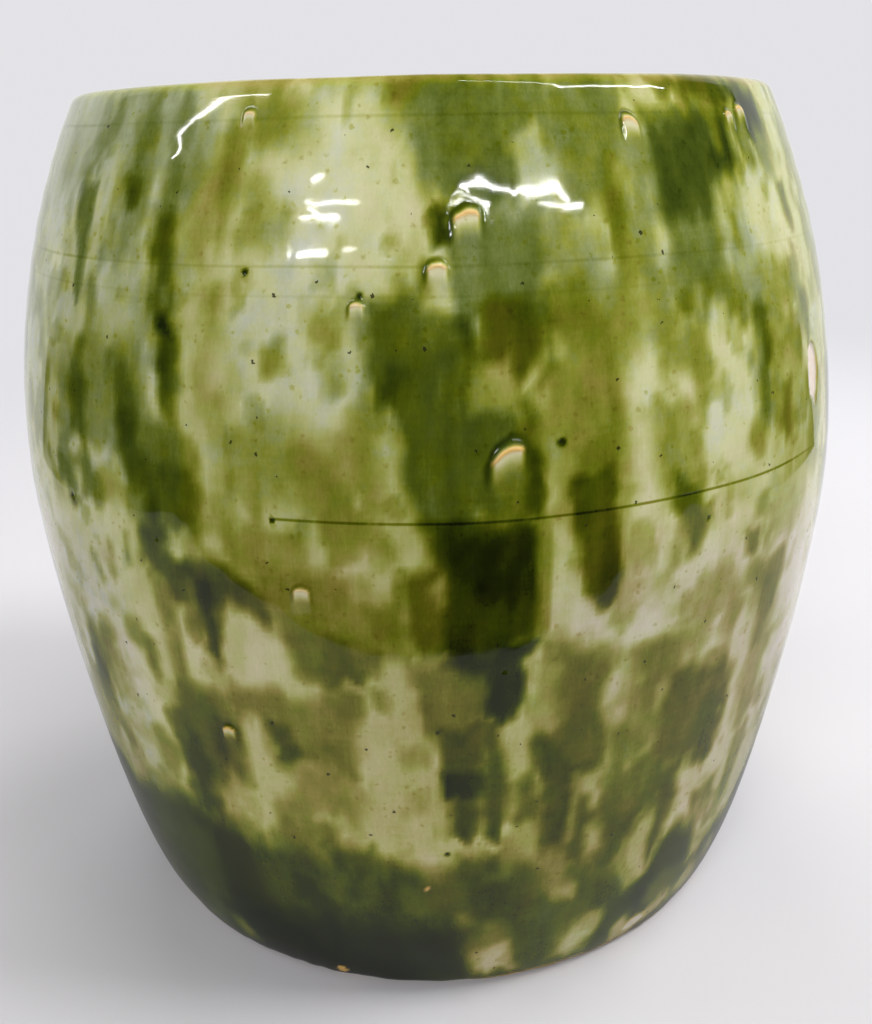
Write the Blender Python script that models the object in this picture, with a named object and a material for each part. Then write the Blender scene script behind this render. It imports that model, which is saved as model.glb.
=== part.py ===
"""Round-bellied storage jar: a wheel-thrown clay body with a fired coat of glaze outside and inside.

The jar is turned about +Z and stands on z = 0. All lengths are in metres. Every surface is an offset of
one visible outline: a curve from the foot to the belly, an arc from the belly to the lip, a round lip.
"""

import math

import bmesh
import bpy

# Driving sizes of the visible outline, from the table up
FOOT_RADIUS = 0.1001
FLARE_ANGLE = math.radians(36.0)
FLARE_HANDLE = 0.0188
BELLY_RADIUS = 0.125
BELLY_HEIGHT = 0.141
BELLY_HANDLE = 0.0336
CREST_RADIUS = 0.0968
CREST_ABOVE_BELLY = 0.102

# Thicknesses, from the outer face of the wall to the inner one
GLAZE_COAT = 0.0009
COAT_GAP = 0.0003
CLAY_WALL = 0.0066
CLAY_FLOOR = 0.009
FLOOR_FILLET = 0.010

# Foot ring, wiped clean of glaze, and the hollow turned inside it
BARE_BAND = 0.0016
FOOT_CHAMFER = 0.0011
FOOT_RING_WIDTH = 0.012
FOOT_RECESS = 0.004
RECESS_RUN = 0.003

# Where the two coats meet, past the crest of the lip on its inner side
SEAM_ANGLE = math.radians(50.0)

# Fineness of the turned shapes
SEGMENTS = 64
LOWER_STEPS = 7
UPPER_STEPS = 6
LIP_STEPS = 8
SEAM_STEPS = 3
FILLET_STEPS = 3
SOLVE_STEPS = 50
WELD = 0.00001
SHARP_ANGLE = math.radians(35.0)

# Depths below the visible outer face
CLAY_OUTSIDE = GLAZE_COAT + COAT_GAP
CLAY_INSIDE = CLAY_OUTSIDE + CLAY_WALL
INNER_GLAZE_BACK = CLAY_INSIDE + COAT_GAP
WALL = INNER_GLAZE_BACK + GLAZE_COAT

# The lip is round about the middle of the wall
LIP_CENTRE = (CREST_RADIUS, BELLY_HEIGHT + CREST_ABOVE_BELLY - WALL / 2)
INNER_FLOOR_TOP = FOOT_RECESS + CLAY_FLOOR + COAT_GAP + GLAZE_COAT


def clear_scene():
    for obj in list(bpy.data.objects):
        bpy.data.objects.remove(obj)


def material(name, colour, roughness):
    made = bpy.data.materials.new(name)
    made.use_nodes = True
    shader = made.node_tree.nodes["Principled BSDF"]
    shader.inputs["Base Color"].default_value = (*colour, 1.0)
    shader.inputs["Roughness"].default_value = roughness
    shader.inputs["Metallic"].default_value = 0.0
    made.diffuse_color = (*colour, 1.0)
    return made


def lower_wall(t):
    """Point and outward normal on the curve from the foot, t = 0, to the belly, t = 1."""
    corners = (
        (FOOT_RADIUS, 0.0),
        (
            FOOT_RADIUS + FLARE_HANDLE * math.sin(FLARE_ANGLE),
            FLARE_HANDLE * math.cos(FLARE_ANGLE),
        ),
        (BELLY_RADIUS, BELLY_HEIGHT - BELLY_HANDLE),
        (BELLY_RADIUS, BELLY_HEIGHT),
    )
    weights = ((1 - t) ** 3, 3 * (1 - t) ** 2 * t, 3 * (1 - t) * t**2, t**3)
    slopes = (-((1 - t) ** 2), (1 - t) * (1 - 3 * t), t * (2 - 3 * t), t**2)
    radius, height = (sum(w * c[k] for w, c in zip(weights, corners)) for k in (0, 1))
    run, rise = (sum(s * c[k] for s, c in zip(slopes, corners)) for k in (0, 1))
    length = math.hypot(run, rise)
    return (radius, height), (rise / length, -run / length)


def upper_arc():
    """Radius and full angle of the wall's middle arc, upright at the belly, up to the lip's centre.

    Both are negative where the lip is wider than the belly, and the wall then flares.
    """
    inward = BELLY_RADIUS - WALL / 2 - LIP_CENTRE[0]
    upward = LIP_CENTRE[1] - BELLY_HEIGHT
    radius = (inward**2 + upward**2) / (2 * inward)
    return radius, math.atan2(upward / radius, 1 - inward / radius)


def upper_wall(t):
    """Point and outward normal on the outer face from the belly, t = 0, to the lip, t = 1."""
    middle_radius, full = upper_arc()
    radius = middle_radius + WALL / 2
    angle = full * t
    normal = (math.cos(angle), math.sin(angle))
    centre = BELLY_RADIUS - radius
    return (centre + radius * normal[0], BELLY_HEIGHT + radius * normal[1]), normal


def depth_point(station, depth):
    """The point at this depth below the visible outer face."""
    (radius, height), (out, up) = station
    return radius - out * depth, height - up * depth


def solve(height_at, wanted):
    """The t at which a rising height reaches the wanted one."""
    low, high = 0.0, 1.0
    for _ in range(SOLVE_STEPS):
        middle = (low + high) / 2
        if height_at(middle) < wanted:
            low = middle
        else:
            high = middle
    return (low + high) / 2


def wall_stations(start):
    """Stations up the whole wall, from t = start on its lower curve."""
    lower = [lower_wall(start + (1 - start) * i / LOWER_STEPS) for i in range(LOWER_STEPS)]
    upper = [upper_wall(i / UPPER_STEPS) for i in range(UPPER_STEPS + 1)]
    return lower + upper


def arc(centre, radius, start, end, steps):
    """Points round a centre, without the first one."""
    angles = [start + (end - start) * i / steps for i in range(1, steps + 1)]
    return [(centre[0] + radius * math.cos(a), centre[1] + radius * math.sin(a)) for a in angles]


def glaze_line():
    """The t on the lower curve where the outer coat stops, at the top of the bare band."""
    return solve(lambda t: lower_wall(t)[0][1], BARE_BAND)


def floor_corner():
    """The t on the lower curve where the rounded inner corner begins."""
    depth = WALL + FLOOR_FILLET
    return solve(lambda t: depth_point(lower_wall(t), depth)[1], INNER_FLOOR_TOP + FLOOR_FILLET)


def inside_face(depth):
    """Points down one inner face, from the lip's end of the wall, round the corner, to the axis."""
    start = floor_corner()
    points = [depth_point(s, depth) for s in reversed(wall_stations(start))]
    corner = lower_wall(start)
    centre = depth_point(corner, WALL + FLOOR_FILLET)
    radius = WALL + FLOOR_FILLET - depth
    first = math.atan2(corner[1][1], corner[1][0])
    last = -math.pi / 2
    points += arc(centre, radius, first, last, FILLET_STEPS)
    points.append((0.0, points[-1][1]))
    return points


def turned(name, outline, finish):
    """One solid turned from a closed outline of (radius, height) points at +X."""
    mesh = bmesh.new()
    corners = [mesh.verts.new((radius, 0.0, height)) for radius, height in outline]
    on_axis = [outline[i][0] == 0.0 and outline[i - 1][0] == 0.0 for i in range(len(outline))]
    edges = [
        mesh.edges.new((corners[i - 1], corners[i]))
        for i in range(len(corners))
        if not on_axis[i]
    ]
    bmesh.ops.spin(
        mesh,
        geom=corners + edges,
        axis=(0, 0, 1),
        cent=(0, 0, 0),
        steps=SEGMENTS,
        angle=2 * math.pi,
        use_merge=True,
    )
    bmesh.ops.remove_doubles(mesh, verts=mesh.verts[:], dist=WELD)
    bmesh.ops.recalc_face_normals(mesh, faces=mesh.faces[:])
    data = bpy.data.meshes.new(name)
    mesh.to_mesh(data)
    mesh.free()
    data.materials.append(finish)
    data.shade_smooth()
    data.set_sharp_from_angle(angle=SHARP_ANGLE)
    obj = bpy.data.objects.new(name, data)
    bpy.context.collection.objects.link(obj)
    return obj


def clay_body(finish):
    """Foot ring, recessed base, wall and lip, all thrown from one lump."""
    ring_outer = FOOT_RADIUS - FOOT_CHAMFER
    ring_inner = ring_outer - FOOT_RING_WIDTH
    foot = [
        (0.0, FOOT_RECESS),
        (ring_inner - RECESS_RUN, FOOT_RECESS),
        (ring_inner, 0.0),
        (ring_outer, 0.0),
        (ring_outer + FOOT_CHAMFER / 2, FOOT_CHAMFER / 2),
    ]
    outside = [depth_point(s, CLAY_OUTSIDE) for s in wall_stations(glaze_line())]
    lean = upper_arc()[1]
    lip = arc(LIP_CENTRE, CLAY_WALL / 2, lean, lean + math.pi, LIP_STEPS)
    inside = inside_face(CLAY_INSIDE)[1:]
    return turned("clay_body", foot + outside + lip + inside, finish)


def outer_glaze(finish):
    """The coat from the foot band up the outside and over the crest of the lip."""
    stations = wall_stations(glaze_line())
    lean = upper_arc()[1]
    seam = math.pi / 2 + SEAM_ANGLE
    front = [depth_point(s, 0.0) for s in stations]
    back = [depth_point(s, GLAZE_COAT) for s in stations]
    front += arc(LIP_CENTRE, WALL / 2, lean, seam, LIP_STEPS)
    back += arc(LIP_CENTRE, WALL / 2 - GLAZE_COAT, lean, seam, LIP_STEPS)
    return turned("outer_glaze", front + back[::-1], finish)


def inner_glaze(finish):
    """The coat from the seam on the lip down the inside and across the floor."""
    end = upper_arc()[1] + math.pi
    face_radius = WALL / 2
    back_radius = WALL / 2 - GLAZE_COAT
    seam = math.pi / 2 + SEAM_ANGLE + COAT_GAP / back_radius
    face = arc(LIP_CENTRE, face_radius, end, seam, SEAM_STEPS)[::-1] + inside_face(WALL)
    back = arc(LIP_CENTRE, back_radius, end, seam, SEAM_STEPS)[::-1] + inside_face(INNER_GLAZE_BACK)
    return turned("inner_glaze", face + back[::-1], finish)


def main():
    clear_scene()
    biscuit = material("biscuit_clay", (0.62, 0.50, 0.37), 0.75)
    mottled = material("mottled_green_glaze", (0.23, 0.29, 0.09), 0.08)
    pale = material("pale_green_glaze", (0.52, 0.54, 0.32), 0.10)
    clay_body(biscuit)
    outer_glaze(mottled)
    inner_glaze(pale)


main()
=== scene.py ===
"""Looks of a thrown earthenware jar: bare clay, mottled green glaze outside and a paler glaze inside.

Azimuths are 0 at the front, -Y, and positive towards +X. Marks on the glaze are placed by azimuth in
degrees and by height above the table in millimetres.
"""

import math

import bmesh
import bpy
import numpy as np
from bpy.props import FloatProperty, FloatVectorProperty, IntProperty, PointerProperty
from mathutils import Matrix, Vector


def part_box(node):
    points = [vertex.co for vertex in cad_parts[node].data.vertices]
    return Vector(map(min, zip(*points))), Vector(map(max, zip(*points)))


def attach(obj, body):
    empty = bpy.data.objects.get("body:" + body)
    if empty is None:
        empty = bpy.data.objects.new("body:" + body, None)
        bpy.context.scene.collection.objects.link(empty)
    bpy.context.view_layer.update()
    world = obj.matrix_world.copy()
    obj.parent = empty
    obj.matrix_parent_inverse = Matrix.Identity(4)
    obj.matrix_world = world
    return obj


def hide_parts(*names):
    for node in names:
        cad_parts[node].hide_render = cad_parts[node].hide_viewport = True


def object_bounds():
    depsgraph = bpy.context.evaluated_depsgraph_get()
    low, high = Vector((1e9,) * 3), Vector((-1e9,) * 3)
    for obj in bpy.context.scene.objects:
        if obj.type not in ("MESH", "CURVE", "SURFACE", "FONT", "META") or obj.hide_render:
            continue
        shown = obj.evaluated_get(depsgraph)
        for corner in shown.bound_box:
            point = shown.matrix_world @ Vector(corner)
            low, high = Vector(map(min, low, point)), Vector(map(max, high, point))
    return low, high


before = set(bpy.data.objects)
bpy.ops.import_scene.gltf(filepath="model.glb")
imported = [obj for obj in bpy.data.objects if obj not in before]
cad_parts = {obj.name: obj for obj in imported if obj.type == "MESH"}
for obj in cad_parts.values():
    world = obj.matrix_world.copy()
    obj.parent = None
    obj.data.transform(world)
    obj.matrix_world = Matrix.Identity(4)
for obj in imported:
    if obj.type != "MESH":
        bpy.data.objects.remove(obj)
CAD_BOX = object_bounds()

bl_info = {
    "name": "Mottled green storage jar",
    "version": (1, 0, 0),
    "blender": (4, 5, 0),
    "location": "3D Viewport > Sidebar > Jar",
    "description": "Builds a wheel-thrown storage jar with a mottled green glaze",
    "category": "Object",
}

MM = 0.001
OUTER_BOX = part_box("outer_glaze")
INNER_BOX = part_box("inner_glaze")
CLAY_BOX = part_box("clay_body")
BELLY_RADIUS = OUTER_BOX[1][0]
CREST_HEIGHT = CAD_BOX[1][2]
BARE_BAND = OUTER_BOX[0][2]
CLAY_DEPTH = BELLY_RADIUS - CLAY_BOX[1][0]
INNER_BACK = BELLY_RADIUS - INNER_BOX[1][0]
FLOOR_BACK = INNER_BOX[0][2]

# The way round the belly in mm, and the angle round the lip at which the two coats meet
TURN = 2 * math.pi * BELLY_RADIUS / MM
SEAM_ANGLE = math.radians(140)

# Foot of the clay: bevel, slope into the recess, rounding of the ring's outer edge, and two points that
# soften its inner edge
FOOT_BEVEL = 0.0011
RECESS_RUN = 0.003
RING_INSET = 0.0008
RING_ROUNDING = 0.0012
RING_INNER_EDGE = ((0.0004, 0.0002), (0.0009, 0.0))

# Where the faces of the outer coat start above the bare band, and the steps in and down from there that
# round its lower edge
COAT_START = BARE_BAND + 0.0002
COAT_BACK_START = BARE_BAND + 0.0003
COAT_ROUNDING = ((0.0006, 0.00020), (0.00028, 0.00012))

# Steps round the clay and the inner coat, and how much closer the outer coat's are at the front
CLAY_SEGMENTS = 256
INNER_SEGMENTS = 288
FRONT_CLOSENESS = 0.32
WELD = 2e-6

# Patches and runs of the glaze on the side that shows: depth of green, softness of the edge in mm, lean
# of the hue to amber, below 0, or to green, above 0, and the outline as azimuth, height and so on
PATCHES = (
    # Upper left
    (0.5, 5, 0.8, (-64, 243, -33, 243, -32, 228, -41, 225, -48, 225, -52, 215, -60, 215, -64, 225)),
    (0.55, 3, 0.7, (-46, 243, -33, 243, -31.5, 236, -33, 229, -37, 226, -41, 228, -44, 232)),
    (1.0, 2.5, 0, (-57, 234, -54, 234, -53.5, 226, -55.5, 222, -57, 228)),
    (1.5, 1.7, 0.3, (-37.8, 240, -35.5, 240, -35.3, 228, -35.7, 218, -37.6, 218, -38.2, 228)),
    (0.9, 2.2, 0.3, (-38.8, 219, -35.5, 219, -36, 208, -37.4, 205, -38.6, 211)),
    (2.4, 1.2, -0.3, (-38.4, 222.5, -35.8, 222, -35.8, 218.5, -37.8, 218)),
    (0.3, 3, 0, (-50, 201, -47, 203, -43.2, 203, -42.9, 192, -43.6, 187, -47, 185, -51, 188)),
    (0.35, 3, 0, (-40.2, 204, -33.4, 205, -32.8, 196, -33, 189, -36.5, 186, -40.2, 187)),
    (0.1, 2, 0, (-44, 232, -42, 231, -40.5, 222, -40.6, 208, -43.4, 208, -44.4, 222)),
    (1.1, 4, 0.3, (-50, 184, -34, 186, -32.6, 172, -33, 160, -37, 158, -48, 160)),
    (1.8, 1.0, 1.1, (-48.5, 222, -45, 222, -44.5, 214, -44.8, 206, -45, 200, -45.6, 195, -46.6, 199,
                     -47, 206, -48.6, 211, -49, 217)),
    (1.1, 1.8, 0, (-43, 201, -41.2, 201, -40.5, 190, -41.2, 180, -43, 182, -43.3, 190)),
    (1.9, 1.7, 0.1, (-45.8, 186, -43.5, 185, -42.8, 176, -42.5, 166, -43, 160, -44.5, 162, -45.5, 168,
                     -46.4, 176)),
    (2.5, 1.5, 0.1, (-44, 180, -42.9, 178, -42.4, 168, -43.2, 163, -44, 168)),
    (1.9, 1.7, 0.1, (-37.4, 185, -34.8, 184, -33.3, 174, -33.2, 165, -34, 158, -35.8, 160, -37.2, 168)),
    (2.6, 1.8, 0, (-36, 172, -34, 172, -33.4, 165, -34.5, 159, -36, 163)),
    (0.8, 2.5, 1.1, (-33, 238, -26, 236, -25.4, 222, -27, 214, -33, 215)),
    (1.4, 1.6, 0.7, (-31.8, 240, -29.8, 240, -29, 228, -29.4, 212, -31.8, 212)),
    (2.1, 1.8, 0.2, (-32.4, 217, -29.8, 216, -28.3, 209, -28, 200, -28.5, 192, -27.6, 186, -27.3, 178,
                     -28, 170, -29.2, 175, -30.5, 186, -31.8, 194, -32.4, 204)),
    (2.7, 1.6, 0, (-31.9, 215, -30.3, 215, -29.6, 206, -29, 198, -28.6, 187, -28.4, 178, -29.6, 178,
                   -30.6, 188, -31.7, 196)),
    (3.9, 1.0, 0.8, (-31.4, 192.6, -28.7, 192.4, -28.5, 190, -29.4, 188.6, -31.2, 189.2)),
    (0.55, 2, 0.5, (-28.4, 216, -25.4, 214, -25.4, 200, -27, 194, -28, 204)),
    (0.9, 2.5, -0.3, (-26.5, 226, -22, 234, -21, 222, -22, 212, -25, 205, -27, 212)),
    (1.3, 2.5, -0.4, (-24, 232, -22, 231, -21.8, 219, -23, 212, -24, 220)),
    (0.8, 3, -0.2, (-25, 199, -22.5, 200, -22, 186, -23, 177, -25, 183)),
    (1.7, 2, 0, (-34.4, 166, -30.6, 172, -28, 173, -25.5, 167, -24.7, 158, -24.8, 148, -25.6, 144.5,
                 -27.4, 147, -30, 149, -33.8, 150)),
    (2.2, 1.8, 0, (-30.6, 160, -26, 161, -25, 155, -25.4, 146, -28, 148.6, -30.6, 149.6)),
    (2.4, 1.6, -0.2, (-34, 161, -31, 162, -30.6, 150, -33.4, 150)),
    (0.9, 3, -0.1, (-23, 177, -19, 172, -16, 172, -15, 160, -18, 156, -22, 160)),
    (0.12, 3, 0, (-62, 150, -52, 146, -48, 146, -44, 147, -36, 148, -34.5, 140, -34, 128, -36, 120,
                  -45, 119, -58, 118, -64, 125)),
    (1.1, 1.2, 0, (-40.4, 139, -39.4, 139, -39.2, 131, -40, 129, -40.6, 133)),
    (1.0, 1.2, 0, (-37, 142, -36.2, 142, -36, 135, -37, 134)),
    (1.1, 1.5, 0, (-43.8, 132, -42.4, 132, -42.2, 127, -43.2, 125.5, -44, 128)),
    (1.5, 1.4, 1.0, (-49, 158, -46.2, 157, -45.5, 152, -46, 149, -49, 150, -50, 153)),
    (1.9, 1, -0.5, (-47.5, 148, -45.5, 148, -44.6, 146, -46.5, 145.4)),
    (1.45, 1.6, 0.1, (-44.4, 161, -40, 158, -39.3, 152, -40.5, 148.3, -44, 149)),
    (0.75, 1.6, -1.0, (-39.8, 157, -36, 157, -35.5, 152, -39.5, 150.5)),
    (0.1, 1.2, 0, (-46.5, 163, -45, 164.3, -43.6, 163, -43.6, 160.5, -45, 159.4, -46.5, 160.6)),
    (0.1, 1.4, 0, (-42, 162.5, -40, 164.5, -38.2, 163, -38, 160, -39.5, 158, -41.5, 159)),
    (0.5, 1.0, -1.4, (-51.4, 170.5, -49.3, 171, -49, 167, -50.6, 164.8, -51.6, 167)),
    # Middle left
    (2.9, 1.5, 0, (-34, 153, -31, 150, -30.3, 144, -31.5, 142, -32, 137, -33.6, 138, -34, 144)),
    (2.6, 1.4, -0.2, (-33.5, 144, -31.2, 146, -31, 141.5, -29, 138, -26, 140.5, -24, 139.5, -21, 137.5,
                      -18, 134, -17.2, 128.5, -18, 125, -20, 128, -23, 131.5, -24.2, 128, -24.4, 121,
                      -24.7, 113, -25.6, 110, -26.4, 114, -26.8, 124, -28, 128, -30, 126, -30.8, 132,
                      -32.5, 134)),
    (3.5, 1.2, 0.2, (-27.3, 137, -24.6, 136, -24.4, 124, -24.8, 113, -26, 113, -26.6, 124)),
    (1.6, 1.6, -0.2, (-32.8, 134, -31, 133, -30.2, 122, -30, 110, -30, 100, -32, 98, -32.4, 112,
                      -32.6, 122)),
    (0.05, 3, 0, (-50, 120, -46, 122, -40, 119, -33.2, 118, -32.8, 106, -33.6, 99, -34.6, 92, -37, 85,
                  -40, 83, -41, 92, -41.4, 101, -42.4, 110, -44, 112.5, -49, 112)),
    (0.12, 2, 0, (-29.7, 124, -27.3, 126, -27.2, 111, -24.5, 108, -22, 111, -21, 120, -18, 122, -17, 112,
                  -18, 107, -22, 106, -27, 105, -29.6, 107)),
    # Lower left
    (1.35, 2.2, -0.2, (-51, 111, -48, 110, -43.6, 110, -43.3, 104, -45, 98, -47.3, 93, -47.8, 86,
                       -47.6, 80, -46, 76, -46, 70, -47.5, 68, -49.5, 74, -51, 77, -53, 80, -53.5, 88,
                       -51.5, 95, -50.5, 102)),
    (2.0, 1.8, -0.1, (-50.6, 107, -48, 106, -46.5, 99, -48, 92, -48.4, 84, -51.5, 82, -52.6, 88,
                      -51.4, 97)),
    (3.2, 1.6, 0, (-51.2, 98, -49.2, 99, -48.6, 92, -49.3, 88, -51, 90)),
    (0.7, 3, 0, (-58, 84, -54, 84, -52.6, 74, -50, 64, -45.6, 62, -44.6, 55, -58, 56)),
    (0.8, 2, -0.2, (-43.6, 100, -41.5, 99, -41.6, 94, -43, 93)),
    (0.7, 2, -0.2, (-47, 82, -40.5, 82, -40.8, 78, -44, 77, -47, 78)),
    (1.2, 2, -0.2, (-39.5, 82, -37.3, 84, -35.5, 80, -35.6, 74, -37, 69, -38.8, 68, -39.6, 74)),
    (1.1, 1.8, -0.1, (-39, 117, -37, 118, -36.6, 111, -38, 109, -39.3, 112)),
    (1.5, 1.5, -0.1, (-36.4, 114, -34.6, 113, -34.5, 104, -35.3, 102, -36.3, 106)),
    (0.8, 3, -0.1, (-47, 67, -44, 65, -38, 66, -36, 62, -40, 60, -48, 60)),
    (2.0, 2.2, -0.1, (-35.5, 92, -33, 96, -31.8, 104, -29, 103, -27, 103, -24.5, 100, -23.6, 94,
                      -23.3, 86, -24, 78, -25.2, 74, -26.5, 78, -27, 71, -28, 70, -29.5, 74, -30.2, 66,
                      -30.6, 60, -34, 60, -33.8, 72, -34.2, 82)),
    (2.7, 1.8, 0.4, (-34, 84, -32.5, 88, -30.5, 87, -29.5, 80, -29.3, 75, -30.2, 68, -30.6, 59, -34, 59,
                     -33.6, 70)),
    (2.9, 1.8, 0, (-28, 96, -26.8, 97, -24.4, 94, -24, 88, -25.5, 84, -27, 80, -28, 85)),
    (0.3, 2.2, -0.2, (-29, 68, -26, 75, -23.5, 76, -22.8, 90, -21.5, 94, -20, 80, -20.4, 66, -21, 59,
                      -23, 57, -26, 62, -28.4, 62)),
    # Middle
    (1.15, 2.5, 0, (-21.5, 238, -17, 239.5, -13.4, 237.5, -13, 231, -15.5, 229.5, -19, 230, -21.8, 231)),
    (0.08, 4, 0.2, (-21, 207, -9, 203, -8, 196, -9.4, 186, -8, 178, -10, 172, -14, 170, -16, 172,
                    -20, 176, -21.6, 190)),
    (0.05, 4, 0, (-14, 242, -5, 242, -3, 234, -2, 225, -1.6, 215, -1, 208, -4, 203, -6, 200, -8.4, 200,
                  -12, 202, -16, 206, -15, 216, -17, 224, -13, 230)),
    (0.7, 2.5, 0, (-20, 222, -17, 222, -16, 212, -17.6, 207, -19.6, 212)),
    (1.0, 1.5, 0, (-17, 189, -15, 190, -14.8, 184, -16, 181, -17, 183)),
    (0.6, 2, 0, (-13, 198, -10.5, 198, -9, 190, -7.6, 182, -10, 180, -12, 188)),
    (1.0, 2, -0.1, (-13.5, 168, -10.5, 168, -10, 160, -12, 157, -13.8, 161)),
    (0.8, 1.8, -0.1, (-9, 172, -6, 169, -5.6, 160, -7.6, 158, -8.8, 164)),
    (0.9, 1.6, -0.2, (-19, 148, -16, 151, -13.5, 149, -13, 143, -15.5, 141, -18.5, 142.4)),
    (1.2, 1.6, -0.1, (-9.6, 163, -7.6, 158, -7.2, 150, -8, 143, -10, 142.5, -11, 148, -10.8, 156)),
    (1.35, 2.5, -0.2, (-18, 141, -13, 140, -9, 138, -8, 124, -17, 124)),
    (1.4, 2.5, -0.1, (-17, 131, -12, 129, -8, 129, -4, 132, -3.4, 120, -14, 119, -16.6, 123)),
    (1.5, 1.8, 1.0, (-2.4, 243, -1.6, 235, -1, 229, -0.8, 223, 0.4, 218, 1.2, 219, 4.5, 217, 7, 218,
                     10, 216, 10.4, 222, 10.2, 229, 12, 232, 13.6, 234, 14, 243)),
    (1.3, 2.2, 0.7, (13.6, 243, 26, 243, 24.5, 235, 23.3, 226, 22, 216, 20, 212, 17.5, 216, 16, 221,
                     14.6, 228)),
    (0.8, 3, 0.3, (12, 213, 20, 211, 20, 200, 14, 202)),
    (1.6, 2.5, 1.0, (2.6, 213, 6, 217, 12, 214, 13, 204, 12, 196, 8, 191, 3.5, 194, 2.2, 203)),
    (1.6, 1.3, -1.0, (-4, 243, 10, 243, 8, 239.8, 2, 238.4, -3.6, 238.8)),
    (1.85, 2.2, 0.8, (0, 243, 9, 243, 9.6, 232, 9, 225, 1, 225)),
    (2.1, 1.8, 0.8, (3, 224, 9, 226, 9.4, 219, 6, 217.4, 3, 219)),
    (3.3, 1.1, 0.2, (0.5, 214.6, 2, 217, 3.4, 216.8, 2.6, 213, 2.4, 209.6, 1, 209)),
    (1.5, 2, -0.4, (12, 201, 17, 201, 17.5, 192, 14.5, 186, 13, 190)),
    (2.05, 1.7, 0.3, (-6.3, 198, -4.8, 199.5, -0.9, 199.5, -0.6, 205.5, 0, 196, 2, 196, 3, 190, 5.4, 187,
                      6, 181, 9.8, 179, 10.4, 172, 4, 170, -1, 171, -3, 174.5, -5, 177, -5.9, 184,
                      -6, 191)),
    (2.5, 1.8, 0.2, (-4.6, 187, -3, 188, -2.4, 182, -3.2, 177, -4.8, 179)),
    (2.5, 1.8, -0.7, (5.5, 197, 9, 199, 12, 195, 12.6, 189, 11, 184, 9, 182, 7, 186, 5.5, 190)),
    (2.05, 1.6, 0.3, (-1.8, 172, 4, 174, 7, 176, 8, 172, 10.2, 170, 11, 160, 11, 152, -1.6, 152,
                      -2.3, 158, -2.9, 165)),
    (0.75, 1.6, 0, (4.6, 183.6, 7.4, 184, 8.8, 179, 8.6, 173.6, 6, 176, 4.4, 175.4, 4.2, 180)),
    (3.3, 1.6, 0.1, (-1, 152, 11.3, 152, 11, 142, 10.9, 130, 10.4, 120, 6, 118.5, 0.4, 119, 0.3, 128,
                     1.2, 137, 0.2, 143)),
    (3.8, 2.6, 0, (2.8, 148, 9.8, 149, 10, 133, 6, 131, 4, 134)),
    (2.3, 1.8, -0.4, (-3.2, 141, 0.6, 141, 0.4, 120, -3, 119)),
    (1.4, 2.5, -0.3, (-8, 132, -3, 134, -3, 121, -8, 121)),
    (2.9, 1.2, 0.1, (9.8, 168, 11.3, 164, 11.8, 157, 11, 152, 9.8, 155, 9.8, 162)),
    (0.25, 1.6, 0, (-5.4, 171, -4, 173, -2.9, 170, -2.7, 160, -2, 152, -1.2, 147, -2.6, 146, -4, 152,
                    -5, 158, -5.4, 164)),
    (0.2, 1.6, 0, (11.9, 150, 13.6, 150, 14.6, 142, 15.4, 136, 16.4, 130, 20, 128, 20, 122, 11.4, 122,
                   11.2, 132, 11.7, 142)),
    (1.6, 1.8, 0, (14.6, 166, 18.9, 167, 19.2, 158, 19.9, 145, 20.9, 132, 20.5, 128.6, 19.3, 130.6,
                   17.8, 128.2, 16.4, 130, 15.8, 136, 15.4, 146, 14.8, 158)),
    (2.7, 1.8, -0.1, (15.2, 160, 18.6, 161, 19.4, 146, 20, 134, 19.4, 131, 17.4, 129.6, 16.4, 134,
                      15.8, 146)),
    (3.4, 1.3, -0.2, (17, 143, 18.4, 143, 18.9, 134, 18.6, 130.8, 17.2, 130.2, 16.9, 135)),
    (1.3, 1.8, 0, (17, 196, 19.5, 193, 20.2, 181, 20.6, 167, 19.6, 157, 18.4, 163, 17.8, 175, 16.4, 184)),
    (0.5, 1.5, 0.6, (10.8, 229, 13.2, 230, 14.8, 224, 14.4, 217, 12.6, 216, 11, 222)),
    # Upper right
    (1.4, 2.2, 0.5, (27, 236, 48, 236, 50, 229, 47.6, 222, 44, 221, 42.6, 221, 40, 220.6, 37.8, 221.6,
                     37.4, 219, 35.4, 214, 36, 206, 35.4, 199, 34, 192, 32.4, 191.5, 31.4, 196,
                     29.6, 191.5, 27.4, 192.5, 27.6, 200, 28.3, 208, 27, 216, 26.6, 224)),
    (2.35, 2.2, 1.3, (27.4, 232, 36, 234, 42, 232, 42, 224, 37, 223, 35, 217, 34.6, 212, 29, 212,
                      27.4, 218, 27, 225)),
    (2.2, 1.8, 0, (30, 243, 50, 243, 49, 238, 42, 236, 36, 238, 31, 240)),
    (2.9, 2, 1.4, (37, 232, 42.4, 233, 42.4, 221.6, 38, 222)),
    (2.2, 1.2, -0.3, (27.4, 198, 29.6, 198, 29.8, 193.4, 28, 193)),
    (1.9, 1.2, -0.2, (32.2, 199, 33.8, 200, 33.6, 194, 32.4, 194)),
    (1.2, 2.5, -0.1, (20, 214, 26, 214, 27, 198, 20, 198)),
    (0.9, 3, -0.1, (20, 200, 29, 200, 28, 187, 20, 187)),
    (1.15, 2.5, -0.3, (11, 184, 17, 184, 18, 171, 12, 169)),
    (1.5, 1.6, 0, (37.6, 236, 39.8, 237, 40.2, 230, 39.4, 225, 38, 228)),
    (1.0, 1.4, 0.4, (24, 231, 27, 231, 26.8, 222, 26.4, 214, 26, 206, 24, 206, 23.6, 214, 24, 224)),
    (1.9, 1.3, -0.3, (20.4, 226, 22.4, 226, 22.2, 214, 21.4, 207, 19.4, 206.6, 20, 216)),
    (2.1, 1.0, 0.3, (44.5, 233, 45.6, 233, 45.4, 224, 44.6, 222)),
    (0.3, 1.0, 0, (43, 234, 44.1, 234, 45.6, 221, 46.4, 206, 45, 206, 44.2, 220)),
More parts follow.
